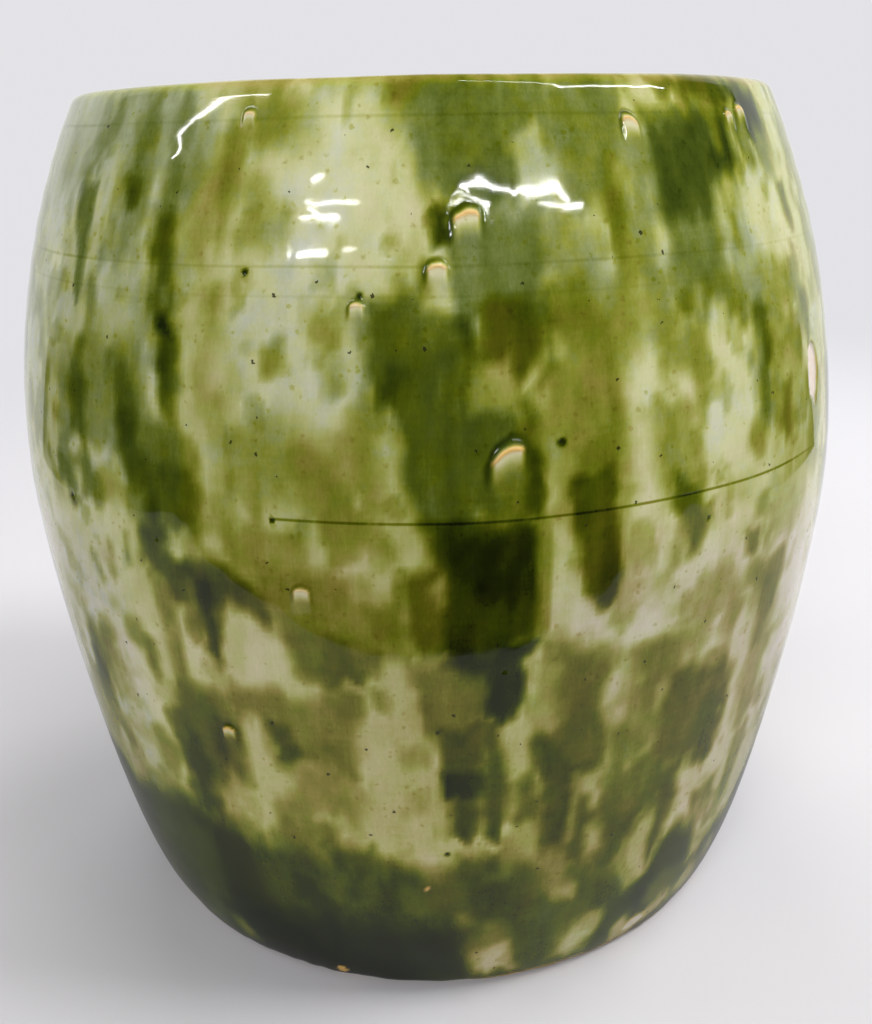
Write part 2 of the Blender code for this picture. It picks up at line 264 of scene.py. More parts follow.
    (0.3, 1.0, 0, (46.4, 235, 47.5, 235, 50.2, 220, 51, 208, 49.4, 208, 48.6, 220)),
    (2.3, 1.6, 0.6, (41, 242, 51, 240, 52, 232, 49, 230, 48.6, 237, 44, 238, 41, 238)),
    (1.6, 2.5, 0.8, (48.2, 241, 52.5, 238, 54, 236, 53, 226, 51.6, 221.5, 50, 225, 48.8, 232)),
    (0.08, 2.5, 0, (44.6, 220, 47.5, 221.5, 51.6, 220, 52.2, 210, 52.2, 201, 45, 200.6, 43, 203,
                    41.8, 210, 43, 217)),
    (0.55, 2, 0.4, (37.4, 217, 41, 217, 42, 208, 41, 201, 38, 201, 36.4, 207)),
    (1.3, 1, 0, (38.6, 214, 39.6, 214, 39.4, 206, 38.4, 207)),
    (1.8, 1.2, -0.7, (52.6, 219, 55, 218, 54.6, 206, 53.2, 207)),
    (1.1, 1, -0.7, (52.4, 204, 54, 203, 53.6, 196, 52.4, 197)),
    (1.7, 1.6, -0.3, (52.6, 192.5, 55.4, 192, 55.2, 180, 53.4, 178.6, 52.6, 182)),
    (0.75, 2.5, 0.2, (35.6, 199, 42, 201, 50, 199.5, 51.5, 195, 50, 190.6, 44, 190, 43.4, 184, 43, 176,
                      42.6, 166, 41.8, 163.6, 40.8, 167, 41, 178, 40, 186, 38.5, 190.5, 36, 189.6)),
    (1.9, 1.6, 0.1, (40.4, 193, 43.2, 192, 43.2, 184, 42.6, 170, 41.8, 164.4, 41, 168, 41.2, 180)),
    (0.0, 2.5, 0, (33, 186, 36, 188, 38.6, 188.6, 39.6, 180, 40, 170, 38.4, 165, 36.8, 163, 37.6, 157,
                   36, 150, 33.5, 156, 31, 162, 30.6, 168, 31.4, 175)),
    (0.05, 2.2, 0, (21, 183, 24, 187, 26.4, 183, 30, 178, 29.6, 172, 26, 171.4, 22.4, 172, 20.8, 178)),
    (0.95, 1.5, 0, (30, 190, 31.6, 190, 31.8, 180, 31, 171, 30, 172, 29.8, 182)),
    # Middle right
    (0.05, 2.5, 0, (21, 172, 23.6, 170, 24, 160, 26.6, 150, 28.6, 146, 27, 134, 21.5, 130, 21, 150)),
    (0.45, 2.5, -0.1, (44.6, 178, 48.6, 178, 52, 174, 52, 151, 44.8, 150, 44, 160)),
    (1.5, 1.4, -0.9, (45.6, 172, 47.6, 172, 47.6, 160, 46, 157, 45.2, 162)),
    (0.15, 3, 0, (21, 148, 26, 147, 28, 140, 29.6, 134, 31.4, 138, 33, 146, 37, 149, 43, 148, 52, 149,
                  60, 140, 62, 120, 47, 118, 40, 122, 36, 130, 28, 128, 21, 124)),
    (1.05, 1.6, 0.2, (24.4, 175, 26.6, 172, 27.6, 165, 29.4, 160, 30, 152, 28, 152, 26.4, 157,
                      24.6, 163)),
    (2.2, 1.3, 0.2, (26.6, 157, 30, 154, 31, 145, 30.5, 137, 29.4, 135.5, 28.4, 141, 27, 149)),
    (1.5, 1.2, 0, (31.2, 150, 32.4, 150, 32.4, 144, 31.4, 142)),
    (1.0, 1.3, 0.1, (39.4, 147, 42.8, 146, 43.4, 141, 41, 139.4, 39.8, 141)),
    (1.8, 1.2, -0.2, (38.7, 138.4, 40.6, 138.4, 41.2, 131, 40, 129, 38.8, 132)),
    (1.3, 1.8, -0.1, (39.6, 131, 42, 130, 44, 126, 48, 125, 48.6, 120, 42, 119.6, 40, 123)),
    (0.7, 1.5, 0, (21.6, 139, 23.4, 139, 23, 134, 21.8, 134)),
    (0.8, 1.5, 0, (26.8, 139, 28.4, 138, 28, 133.6, 26.6, 134)),
    (0.9, 2, -0.1, (31, 130, 35, 129, 37.6, 124, 36, 118, 32, 117, 30, 122)),
    (0.6, 2.5, 0.2, (43, 150, 52, 150, 53, 140, 51, 131, 44, 131, 42.6, 140)),
    (1.5, 1.6, -0.3, (44, 123, 48.4, 122, 48.4, 115, 46.4, 108, 45.4, 100, 44.2, 99, 43.8, 108,
                      44.2, 116)),
    (2.2, 1.2, -0.5, (45.4, 120, 47.6, 119, 47.6, 113, 46, 111.6)),
    (0.1, 3, 0, (49.4, 120, 56, 124, 62, 110, 60, 86, 54, 84, 50.4, 88, 48.6, 96, 48.6, 108)),
    (1.0, 1.5, -0.1, (42, 136, 43.4, 136, 43, 130, 42, 131)),
    # Lower middle
    (1.9, 2, -0.3, (-16, 122, -13, 123, -6, 121, -6, 113, -9, 112, -12, 112, -15.5, 112.5)),
    (2.4, 1.6, -0.2, (-11.6, 123, -9.2, 122, -9.4, 113, -11, 112)),
    (1.5, 2.2, -0.35, (-24, 106, -20.5, 106, -15, 105, -12.5, 108, -9, 106, -8.5, 98, -9.6, 90, -10, 84,
                       -13.5, 84, -15, 86, -17, 83, -19.5, 84, -20, 92, -20.6, 98, -24, 96)),
    (3.0, 1.4, 0.1, (-19.7, 98, -16.6, 98, -16.2, 88, -17.5, 84, -19, 86)),
    (1.9, 2, -0.1, (-12, 107, -9, 107, -8.8, 100, -10.8, 99)),
    (1.8, 2, -0.1, (-12.5, 92, -10, 92, -10, 84, -12, 84)),
    (1.2, 2.5, -0.4, (-16.5, 84, -11, 84, -12, 76, -14, 70, -17, 66, -19, 60, -20.5, 62, -20, 70,
                      -17.5, 76)),
    (1.5, 2.5, -0.4, (-20.5, 69, -16, 68, -15, 62, -16.6, 57, -20, 56, -21, 60)),
    (1.6, 2, -0.1, (-15, 66, -13, 65, -12.5, 60, -14.5, 58)),
    (1.3, 2, -0.1, (-14, 78, -11.5, 77, -10.5, 71, -13, 70)),
    (0.36, 2.2, -0.3, (-8.5, 100, -6.5, 101, -5, 107, -6.3, 114, -5.5, 119, -3.5, 118, -2.5, 112, -1, 108,
                       -1.2, 98, -0.3, 88, 0.2, 78, 1.4, 70, 1.4, 63, 4, 61, 7, 58, 9, 52, 5, 53, 2, 55,
                       -2, 52, -6, 54, -9, 58, -9.5, 66, -9, 74, -8, 86, -9, 94)),
    (0.9, 1.5, -0.2, (-3.6, 78, -2.2, 79, -1.8, 73, -3.3, 72)),
    (1.0, 2, -0.2, (-4.5, 96, -2.5, 93, -1.5, 88, -2.5, 86, -4.5, 90)),
    (1.3, 1.5, -0.1, (-7.5, 110, -5.4, 110, -5, 103, -6.6, 104)),
    (2.7, 1.6, -0.1, (-0.8, 112, 1, 118, 3, 118, 5, 117, 6, 110, 5.5, 103, 5, 96, 5, 86, 5, 76, 4, 66,
                      3, 62.5, 1.8, 64, 1.6, 72, 0.8, 82, 0.4, 92, -0.4, 98, -1, 106)),
    (2.8, 1.6, 0.1, (5.2, 101, 6.8, 100, 7.2, 88, 8.6, 80, 8.6, 70, 7.2, 62, 5.6, 65, 5.2, 76, 5, 88)),
    (3.5, 1.5, 0.2, (1.2, 83, 4.6, 84, 5.2, 79, 4.4, 75.5, 1.6, 75.5)),
    (3.3, 1.5, 0.2, (5.4, 117, 9.2, 119, 9, 110, 8.8, 102.5, 5.6, 101.5)),
    (3.5, 1.5, 0.1, (1.8, 118, 11, 121, 10.5, 118, 8, 116, 5.5, 113.5, 3, 116)),
    (2.9, 1.2, 0.1, (2, 74, 3.8, 74, 3.9, 66, 3.2, 63, 2.2, 64)),
    (0.3, 1.6, 0, (7.2, 98, 9.3, 101, 11, 98, 11.6, 90, 11, 83, 9, 81.5, 7.6, 86, 7.2, 92)),
    (2.0, 2.2, -0.2, (12.5, 119, 19, 118, 20, 110, 19.5, 100, 19.5, 88, 17, 80, 15.5, 84, 13, 84,
                      12.2, 92, 14.2, 98, 13, 108)),
    (0.7, 1.8, 0, (11.2, 108, 12.2, 110, 13.8, 100, 13.5, 95, 11.8, 95)),
    (2.9, 2, 0, (12.2, 91, 17, 92, 19.5, 90, 19.5, 80, 17.4, 78, 16, 70, 15.8, 60, 15, 54, 13.8, 54,
                 14, 64, 13.2, 74, 12, 82)),
    (3.3, 1.5, 0.2, (14.2, 74, 15.6, 75, 16.4, 68, 15.4, 60, 15, 54, 14.2, 56, 14.4, 66)),
    (2.2, 2, -0.1, (9.2, 81, 11.8, 82, 12.6, 74, 12.6, 66, 10.4, 68, 9.3, 72)),
    (0.6, 1.8, 0, (10.2, 66, 12, 67, 12.6, 60, 13, 53, 14.5, 49, 13, 46, 11, 52, 10.2, 58)),
    (2.5, 2, 0, (16.8, 74, 19, 72, 20, 64, 19.6, 52, 17.5, 50, 16.6, 58)),
    # Lower right
    (0.1, 3, 0, (17, 124, 31, 124, 31, 117, 24, 118, 20, 116, 17, 118)),
    (0.45, 2.5, 0, (20, 112, 23, 113, 23.5, 104, 23, 94, 20.6, 92, 20.3, 102)),
    (1.5, 2, -0.3, (23, 114, 27, 115, 29.5, 112, 29.5, 104, 27.6, 100, 26.8, 92, 24.5, 94, 24, 104)),
    (0.55, 1.6, 0, (26.8, 101, 29.3, 102.5, 29.4, 96, 27.4, 95)),
    (2.1, 2.5, -0.1, (30, 106, 34, 104, 38, 101, 40.6, 98, 40.8, 88, 40.8, 76, 39.5, 70, 36, 70, 34, 73,
                      30, 73, 28, 79, 27.5, 85, 28, 94)),
    (1.4, 2.2, 0, (21.2, 90, 24, 92, 27, 90, 27, 83, 25, 78, 22, 80)),
    (0.6, 1.8, 0, (17, 78, 19.5, 79, 20.3, 74, 18.5, 71, 17, 73)),
    (2.7, 2.2, 0.1, (36.5, 92, 39, 91, 40.8, 87, 40, 84, 37, 84)),
    (2.6, 2, -0.1, (37, 80, 40.3, 80, 40, 70, 37.6, 70)),
    (0.2, 2.2, 0, (41.4, 112, 44, 112, 43.8, 98, 44.3, 88, 44, 78, 46.5, 70, 46, 58, 46.5, 50, 43.5, 46,
                   42, 50, 43, 60, 41, 66, 40.6, 74, 41.4, 86)),
    (1.1, 2, -0.2, (48.3, 101, 50, 101, 50, 96, 48.5, 96)),
    (1.3, 2.2, -0.2, (44.5, 85, 47.5, 86, 48, 80, 47, 73, 45, 72, 44.5, 78)),
    (0.3, 2.2, 0, (33.5, 68, 36, 70, 38.5, 68, 41, 62, 38.6, 60, 37, 55, 38, 51, 34, 52, 33.6, 60)),
    (1.6, 1.8, -0.1, (38.4, 57, 40.4, 58.5, 42.4, 57, 42.8, 52, 41.5, 49, 39, 51)),
    (2.3, 2, 0, (21, 70, 27, 72, 30, 72, 33, 72, 33.3, 60, 32.5, 52, 33, 44, 31, 40, 30.6, 50, 30, 60,
                 28.4, 66, 27.6, 58, 27.6, 50, 25, 48, 22.5, 50, 22.2, 60, 20.5, 64)),
    (2.9, 1.5, 0.1, (24.5, 68, 27.6, 67, 27.4, 62, 24.8, 62)),
    (2.6, 1.5, 0.1, (17.2, 62, 19, 62, 18.8, 50, 17.5, 50)),
    (0.6, 2, 0, (19.2, 60, 21.8, 60, 22, 53, 20, 51)),
    (1.9, 2, -0.1, (47.3, 68, 49.6, 71, 50, 62, 48.8, 54, 47.4, 48, 47, 58)),
    (0.3, 2.5, 0, (49.8, 62, 56, 64, 60, 52, 57, 42, 53, 30, 49, 38, 49, 48)),
    # Darker and lighter places within the patches above
    (3.0, 1.8, 1.0, (45.5, 241, 52.5, 239, 52, 231, 47.6, 230)),
    (1.4, 1.3, 0.1, (-31.2, 201, -29, 201, -29, 195, -31.2, 195)),
    (2.8, 1.4, 0, (3, 196, 5, 196, 5, 188, 3, 188)),
    (1.9, 1.4, 0, (11.2, 199, 13.6, 199, 13.2, 182, 11, 179)),
    (1.8, 2, 0, (33.5, 204, 36, 205, 39, 190, 37, 188, 34, 194)),
    (1.0, 1.5, 0, (-34.8, 153, -32.8, 153, -32.6, 146, -34.8, 146)),
    (1.9, 1.4, -0.1, (-29, 132, -27, 132, -26, 124, -26.4, 117, -27.6, 117, -28.4, 124)),
    (2.4, 1.0, -0.1, (14.4, 161, 19.3, 161, 19.6, 146, 20.4, 133, 20.1, 130.4, 17.2, 130.2, 15.9, 136,
                      14.9, 146)),
    (1.1, 0.9, 0, (10.6, 152, 11.8, 152, 11.8, 122, 10.6, 122)),
    (1.4, 1.5, -0.1, (-1.6, 116, 2.4, 115, 5, 111, 5.2, 101, 3, 98, -1, 99)),
    (3.5, 1.0, 0.6, (2.2, 119, 10.6, 121, 9.5, 117, 9.2, 102, 7.5, 100.5, 5.6, 101.5, 5.4, 112,
                     3.2, 115)),
    (3.5, 1.2, 0.7, (0.8, 84, 5.2, 84, 5.2, 76.5, 3, 75.5, 0.8, 76.5)),
    (1.7, 1.8, 0.1, (11.4, 93, 19.6, 93, 19.6, 83, 11.4, 83)),
    (1.1, 1.2, 0, (16.1, 82, 17.4, 82, 17.4, 57, 16.1, 57)),
    (2.5, 1.4, 0.3, (12.2, 92, 15.2, 90, 15.6, 74, 15.4, 58, 14.2, 54, 13.2, 58, 13.4, 70, 12, 80)),
    (1.9, 2.2, 0.2, (20.5, 79, 24, 77, 29, 80, 30, 68, 29, 60, 22, 60, 20.5, 68)),
    (2.3, 1.4, 0.2, (36, 92, 39.6, 92, 39.6, 70, 36, 70)),
    (1.5, 1.5, -0.2, (44, 127, 48.4, 127, 48, 112, 44.6, 112)),
    (1.2, 1.2, 0.2, (46, 69, 49.2, 70, 49, 46, 46, 46)),
    (2.7, 2.4, 0.5, (-14.6, 58, -9, 58, -9, 45, -14.6, 45)),
    (2.7, 2.4, 0.5, (1.6, 57, 7.6, 57, 7.6, 46, 1.6, 46)),
    (2.4, 1.8, 0.5, (21.4, 50, 25.4, 50, 25.4, 41, 21.4, 41)),
)

# Patches in the dark band round the foot, written in the same way
FOOT_PATCHES = (
    (3.5, 3, -0.3, (-33, 57, -30.6, 57, -26.5, 53, -24.5, 40, -26, 28, -33, 26, -34, 40)),
    (2.7, 2.5, 0.8, (-25, 50, -20.4, 49, -20.6, 38, -23, 30, -25.4, 34)),
    (3.3, 2, 1.2, (-20, 46, -16.4, 44, -15, 38, -17, 33, -20.4, 36)),
    (2.2, 2, 0.9, (-15.6, 50, -12, 50, -12.6, 40, -14, 36, -15.8, 40)),
    (2.4, 2, 0.5, (-11, 50, -8, 50, -8.4, 38, -10.6, 34)),
    (3.0, 1.6, 0.9, (-7.8, 48, -5.4, 48, -5.6, 34, -7.6, 34)),
    (2.1, 2.5, 0.4, (-5, 46, -1, 44, 1, 38, -3, 33, -5, 36)),
    (3.9, 5, 1.2, (-36, 12, -30, 28, -22, 26, -14, 32, -4, 28, 2.6, 27, 3, 3, -8, 0, -30, 0)),
    (4.2, 3, 0.8, (-30, 16, -22, 20, -16, 15, -6, 14, -2, 10, -2, -2, -30, -2)),
    (1.5, 2.2, -0.3, (-36.5, 13, -33, 14.5, -31.4, 10, -31.6, 6, -34.6, 6)),
    (2.2, 2.5, -0.2, (-1.5, 50, 1, 52, 3, 46, 3.6, 38, 4.2, 31, 2.6, 30, 1.6, 36, -0.6, 40, -1.6, 46)),
    (1.3, 1.4, 0.4, (2.4, 35, 4, 35, 4, 31, 2.6, 31)),
    (3.1, 1.6, 0.4, (7, 47, 8.8, 47, 8.6, 36, 7, 36)),
    (1.3, 2, -0.5, (13.6, 55, 15.8, 56, 17, 48, 18.4, 42, 19.6, 40, 19.8, 34, 16.5, 32.5, 14, 38,
                    13.4, 44)),
    (0.7, 1.4, 0.3, (15.6, 40, 19.2, 40.4, 19, 36, 16.4, 35.6)),
    (0.4, 2, -0.2, (26, 50, 27.4, 56, 30.2, 59, 31, 54, 30.6, 47, 31.2, 40, 32, 32, 29.6, 31, 28, 38,
                    26.2, 42)),
    (3.0, 2.5, 1.0, (31.6, 47, 36, 44, 40.6, 40, 41, 28, 34, 27, 32.6, 34)),
    (1.4, 2.5, -0.3, (5.6, 28, 8, 29, 9.6, 25, 11, 18, 13, 5.5, 9, 5, 5, 6, 4.4, 11, 4, 18)),
    (0.35, 2, -0.2, (5, 16, 8, 19, 9.8, 21, 10.6, 14, 11.4, 7.5, 7, 6.5, 5, 9)),
    (2.6, 2.5, 1.2, (11, 24, 16, 24, 17, 12, 14, 8, 12, 14)),
    (1.0, 2.2, -0.1, (17, 17, 19.5, 20, 22, 25.5, 24.4, 25, 25.6, 20, 25, 12, 23.6, 6, 20.5, 5.5,
                      17.4, 8)),
    (0.35, 1.8, 0, (18.6, 14, 21, 18, 23, 22.5, 24.6, 20, 24.4, 13, 22, 9.5, 19, 9)),
    (2.8, 2, 1.3, (25.8, 26, 28, 24, 28.4, 14, 27.4, 6, 26, 6)),
    (0.5, 1.6, -0.6, (28.6, 13, 30.6, 16.5, 32, 12, 35, 14, 38, 19, 41, 17, 41.4, 11, 38.5, 7.5, 35, 5,
                      31, 3.6, 28.6, 5)),
    (1.9, 2, 0.4, (33.5, 26, 37, 28, 40, 25, 42, 20, 40, 16.5, 36, 16, 34, 18)),
    (0.5, 2, 0.1, (42, 32, 44, 34, 46, 30, 45.6, 25.5, 43, 25)),
    (0.5, 2.5, -0.2, (43, 50, 46.5, 50, 46.8, 40, 45, 38, 43, 42)),
    (0.6, 2, 0, (42, 16, 45, 22, 48.5, 20, 49, 11, 44.5, 8, 42, 9)),
    (0.9, 1.8, 0, (49, 26, 52, 26, 53, 18, 51, 16, 49, 19)),
)

# The top of that band and the depth of green in it: azimuth, height, depth
BAND_TOP = (
    (-180, 30, 3.3), (-150, 44, 3.1), (-120, 30, 3.3), (-95, 52, 3.2), (-75, 44, 3.0), (-60, 57, 2.9),
    (-50, 52, 2.9), (-47, 54, 2.9), (-40, 57, 2.9), (-33, 58, 3.2), (-30, 56, 3.3), (-26, 52, 3.1),
    (-24, 52, 3.0), (-20, 53, 3.0), (-15, 50, 3.0), (-12, 47, 2.9), (-8, 50, 2.9), (-4, 49, 2.9),
    (-1, 49, 2.8), (1, 49, 2.7), (4, 48, 2.7), (6, 47, 2.8), (14, 47, 2.5), (18, 47, 2.4), (21, 43, 2.5),
    (25, 36, 2.7), (28, 30, 2.7), (32, 33, 2.8), (35, 44, 2.9), (40, 41, 2.8), (43, 28, 2.7), (48, 30, 2.6),
    (53, 30, 2.7), (58, 44, 2.9), (75, 44, 3.1), (100, 28, 3.2), (125, 46, 3.1), (150, 34, 3.3),
    (180, 30, 3.3),
)

# Blisters that the glaze ran off: azimuth, height of the crest, half width, how far they stand out, how
# bare and golden the crest is, and how far its right end is higher than its left one
BLISTERS = (
    (4.4, 216, 3.2, 0.8, 0.9, 0.1), (1.1, 205.8, 2.3, 0.6, 0.8, 0), (7.7, 168, 3.7, 1.1, 1.0, 0.4),
    (-7.2, 198, 1.7, 0.5, 0.6, 0), (-21, 236.4, 1.7, 0.35, 0.6, 0), (25.5, 233.8, 2.4, 0.55, 0.9, -0.2),
    (43.6, 234.8, 1.8, 0.45, 0.8, 0), (46.8, 236, 2.2, 0.5, 0.9, 0), (-13.8, 135.5, 2.0, 0.4, 0.5, 0),
    (-25.4, 93, 2.0, 0.7, 0.9, 0), (96, 186, 2.6, 0.9, 0.8, 0.2), (-118, 150, 3.0, 1.0, 0.8, -0.2),
    (168, 208, 2.3, 0.8, 0.7, 0), (-152, 96, 2.3, 0.7, 0.8, 0),
)

# Deep pits in the glaze: azimuth, height, radius
PITS = (
    (13.4, 168, 0.9), (-16.5, 151.3, 0.55), (0.1, 97.2, 0.6), (-19.3, 96.8, 0.5), (31.6, 144.6, 0.5),
    (-31.4, 142.6, 0.5), (-19.6, 204, 0.65), (-6.9, 199.4, 0.6), (7.5, 114, 0.6), (1, 57.4, 0.6),
    (-46.8, 147, 0.5), (112, 120, 0.7), (-140, 190, 0.7),
)

# The chip down to the clay, the place where the foot's glaze is worn, and the rusty spots: azimuth,
# height, half width, half height
CHIP = (55.5, 171, 7.5, 13)
WORN = (33.5, 8.5, 10, 6)
RUST_SPOTS = ((-16.3, 4.5, 3.4, 3), (-1.7, 44.5, 1.2, 1.2))

# Lines scored by the turning tool: height in metres, strength
SCORED_LINES = ((0.1515, 0.75), (0.2050, 0.25), (0.1990, 0.1), (0.2345, 0.2))

# Colours of the glaze by depth of green, in screen values of 0 to 255
GREENS = (
    (0.0, (212, 210, 176)), (0.2, (192, 191, 144)), (0.5, (167, 167, 102)), (0.9, (141, 141, 66)),
    (1.4, (113, 117, 37)), (1.95, (87, 93, 17)), (2.7, (60, 68, 8)), (3.4, (36, 43, 5)), (4.2, (17, 23, 3)),
)
DEEPEST = 4.2

# Bare clay where it shows through the outer coat, and a bluish milky tinge that is partly thick glaze and
# partly a painted reflection of the pale table
GOLDEN_CLAY = (0.76, 0.44, 0.07, 1)
PINK_CLAY = (0.86, 0.76, 0.68, 1)
MILK_AND_REFLECTION_TINT = (1.04, 1.0, 1.4, 1)

# Size of the largest specks in the glaze and in the clay, in metres
SPECK_SIZE = 0.0005
CLAY_SPECK_SIZE = 0.0006


class JarShape(bpy.types.PropertyGroup):
    """Sizes of the jar's outline and of its glaze."""

    foot_radius: FloatProperty(
        name="Foot radius", description="Where the outline meets the table", default=0.1001, unit="LENGTH"
    )
    flare_angle: FloatProperty(
        name="Flare", description="Lean of the wall at the foot", default=math.radians(36), subtype="ANGLE"
    )
    flare_handle: FloatProperty(
        name="Flare length", description="How far the flare runs", default=0.0188, unit="LENGTH"
    )
    belly_height: FloatProperty(
        name="Belly height", description="Height of the widest place", default=0.141, unit="LENGTH"
    )
    belly_handle: FloatProperty(
        name="Belly length", description="How far the belly runs upright", default=0.0336, unit="LENGTH"
    )
    crest_radius: FloatProperty(
        name="Crest radius", description="Radius of the crest of the lip", default=0.0968, unit="LENGTH"
    )
    coat: FloatProperty(
        name="Glaze coat", description="Thickness of each coat of glaze", default=0.0009, unit="LENGTH"
    )
    inner_corner: FloatProperty(
        name="Inner corner", description="Radius between wall and floor", default=0.010, unit="LENGTH"
    )
    foot_ring: FloatProperty(
        name="Foot ring", description="Width of the ring it stands on", default=0.012, unit="LENGTH"
    )
    foot_recess: FloatProperty(
        name="Foot recess", description="Depth of the hollow in the base", default=0.004, unit="LENGTH"
    )
    relief: FloatProperty(
        name="Relief", description="Strength of the throwing rings and runs", default=1.0, min=0.0, max=1.0
    )
    segments: IntProperty(
        name="Segments", description="Steps round the outer glaze", default=432, min=32, max=512
    )


class JarColours(bpy.types.PropertyGroup):
    """Colours of the clay and of the surroundings."""

    biscuit: FloatVectorProperty(
        name="Biscuit", description="Fired clay", subtype="COLOR", default=(0.66, 0.50, 0.36)
    )
    # Painted shade: the dark brown laid on the clay round the foot, where the jar's contact shadow falls
    foot_shade_colour: FloatVectorProperty(
        name="Foot clay", description="Clay dark at the foot", subtype="COLOR", default=(0.13, 0.065, 0.035)
    )
    backdrop: FloatVectorProperty(
        name="Backdrop", description="Floor and background", subtype="COLOR", default=(0.77, 0.77, 0.80)
    )


def linear(colour):
    """Screen values of 0 to 255 as linear ones."""
    parts = [c / 255 for c in colour]
    return tuple(c / 12.92 if c <= 0.04045 else ((c + 0.055) / 1.055) ** 2.4 for c in parts)


def smooth(values):
    """A soft step: 0 below 0, 1 above 1."""
    values = np.clip(values, 0, 1)
    return values * values * (3 - 2 * values)


# Outline


def lower_wall(shape, t):
    """Rows of radius, height and outward normal from the foot, t = 0, to the belly, t = 1."""
    lean, reach = shape.flare_angle, shape.flare_handle
    corners = np.array((
        (shape.foot_radius, 0.0),
        (shape.foot_radius + reach * math.sin(lean), reach * math.cos(lean)),
        (BELLY_RADIUS, shape.belly_height - shape.belly_handle),
        (BELLY_RADIUS, shape.belly_height),
    ))
    weights = np.stack(((1 - t) ** 3, 3 * (1 - t) ** 2 * t, 3 * (1 - t) * t**2, t**3), 1)
    slopes = np.stack((-((1 - t) ** 2), (1 - t) * (1 - 3 * t), t * (2 - 3 * t), t**2), 1)
    run = slopes @ corners
    normals = np.stack((run[:, 1], -run[:, 0]), 1) / np.linalg.norm(run, axis=1)[:, None]
    return np.hstack((weights @ corners, normals))


def lip_centre(shape):
    """Radius and height of the middle of the round lip."""
    return shape.crest_radius, CREST_HEIGHT - (INNER_BACK + shape.coat) / 2


def wall_lean(shape):
    """Radius of the upper wall's outer face, and the angle at which it meets the lip."""
    wall = INNER_BACK + shape.coat
    radius, height = lip_centre(shape)
    inward = BELLY_RADIUS - wall / 2 - radius
    upward = height - shape.belly_height
    middle = (inward**2 + upward**2) / (2 * inward)
    return middle + wall / 2, math.atan2(upward / middle, 1 - inward / middle)


def upper_wall(shape, t):
    """Rows of radius, height and outward normal from the belly to the lip."""
    radius, full = wall_lean(shape)
    normals = np.stack((np.cos(full * t), np.sin(full * t)), 1)
    points = np.array((BELLY_RADIUS - radius, shape.belly_height)) + radius * normals
    return np.hstack((points, normals))


def even_rows(rows, count):
    """The same line with evenly spaced rows."""
    steps = np.linalg.norm(np.diff(rows[:, :2], axis=0), axis=1)
    along = np.concatenate(((0,), np.cumsum(steps)))
    wanted = np.linspace(0, along[-1], count)
    return np.stack([np.interp(wanted, along, column) for column in rows.T], 1)


def wall_rows(shape, lowest, count, depth=0.0):
    """Evenly spaced rows up the whole wall, from a lowest height measured at this depth."""
    t = np.linspace(0, 1, 800)
    rows = np.vstack((lower_wall(shape, t)[:-1], upper_wall(shape, t)))
    rows[:, :2] -= rows[:, 2:] * depth
    kept = np.searchsorted(rows[:, 1], lowest)
    share = (lowest - rows[kept - 1, 1]) / (rows[kept, 1] - rows[kept - 1, 1])
    first = rows[kept - 1] + (rows[kept] - rows[kept - 1]) * share
    return even_rows(np.vstack((first[None], rows[kept:])), count)


def arc(centre, radius, start, end, count):
    """Points round a centre, both ends included."""
    angles = np.linspace(start, end, count)
    return np.stack((centre[0] + radius * np.cos(angles), centre[1] + radius * np.sin(angles)), 1)


# Turned shells


def add(tree, kind, inputs=None, **settings):
    """A node with its settings, and with inputs given as values or as sockets to link."""
    made = tree.nodes.new(kind)
    for name, value in settings.items():
        setattr(made, name, value)
    for key, value in (inputs or {}).items():
        if isinstance(value, bpy.types.NodeSocket):
            tree.links.new(value, made.inputs[key])
        else:
            made.inputs[key].default_value = value
    return made


def calc(tree, operation, *values, clamp=False):
    """The result socket of a Math node."""
    made = add(tree, "ShaderNodeMath", dict(enumerate(values)), operation=operation, use_clamp=clamp)
    return made.outputs[0]


def separate(tree, vector):
    """The X, Y and Z sockets of a vector."""
    return add(tree, "ShaderNodeSeparateXYZ", {0: vector}).outputs


def group_socket(tree, name, kind, direction="INPUT"):
    return tree.interface.new_socket(name, in_out=direction, socket_type=kind)


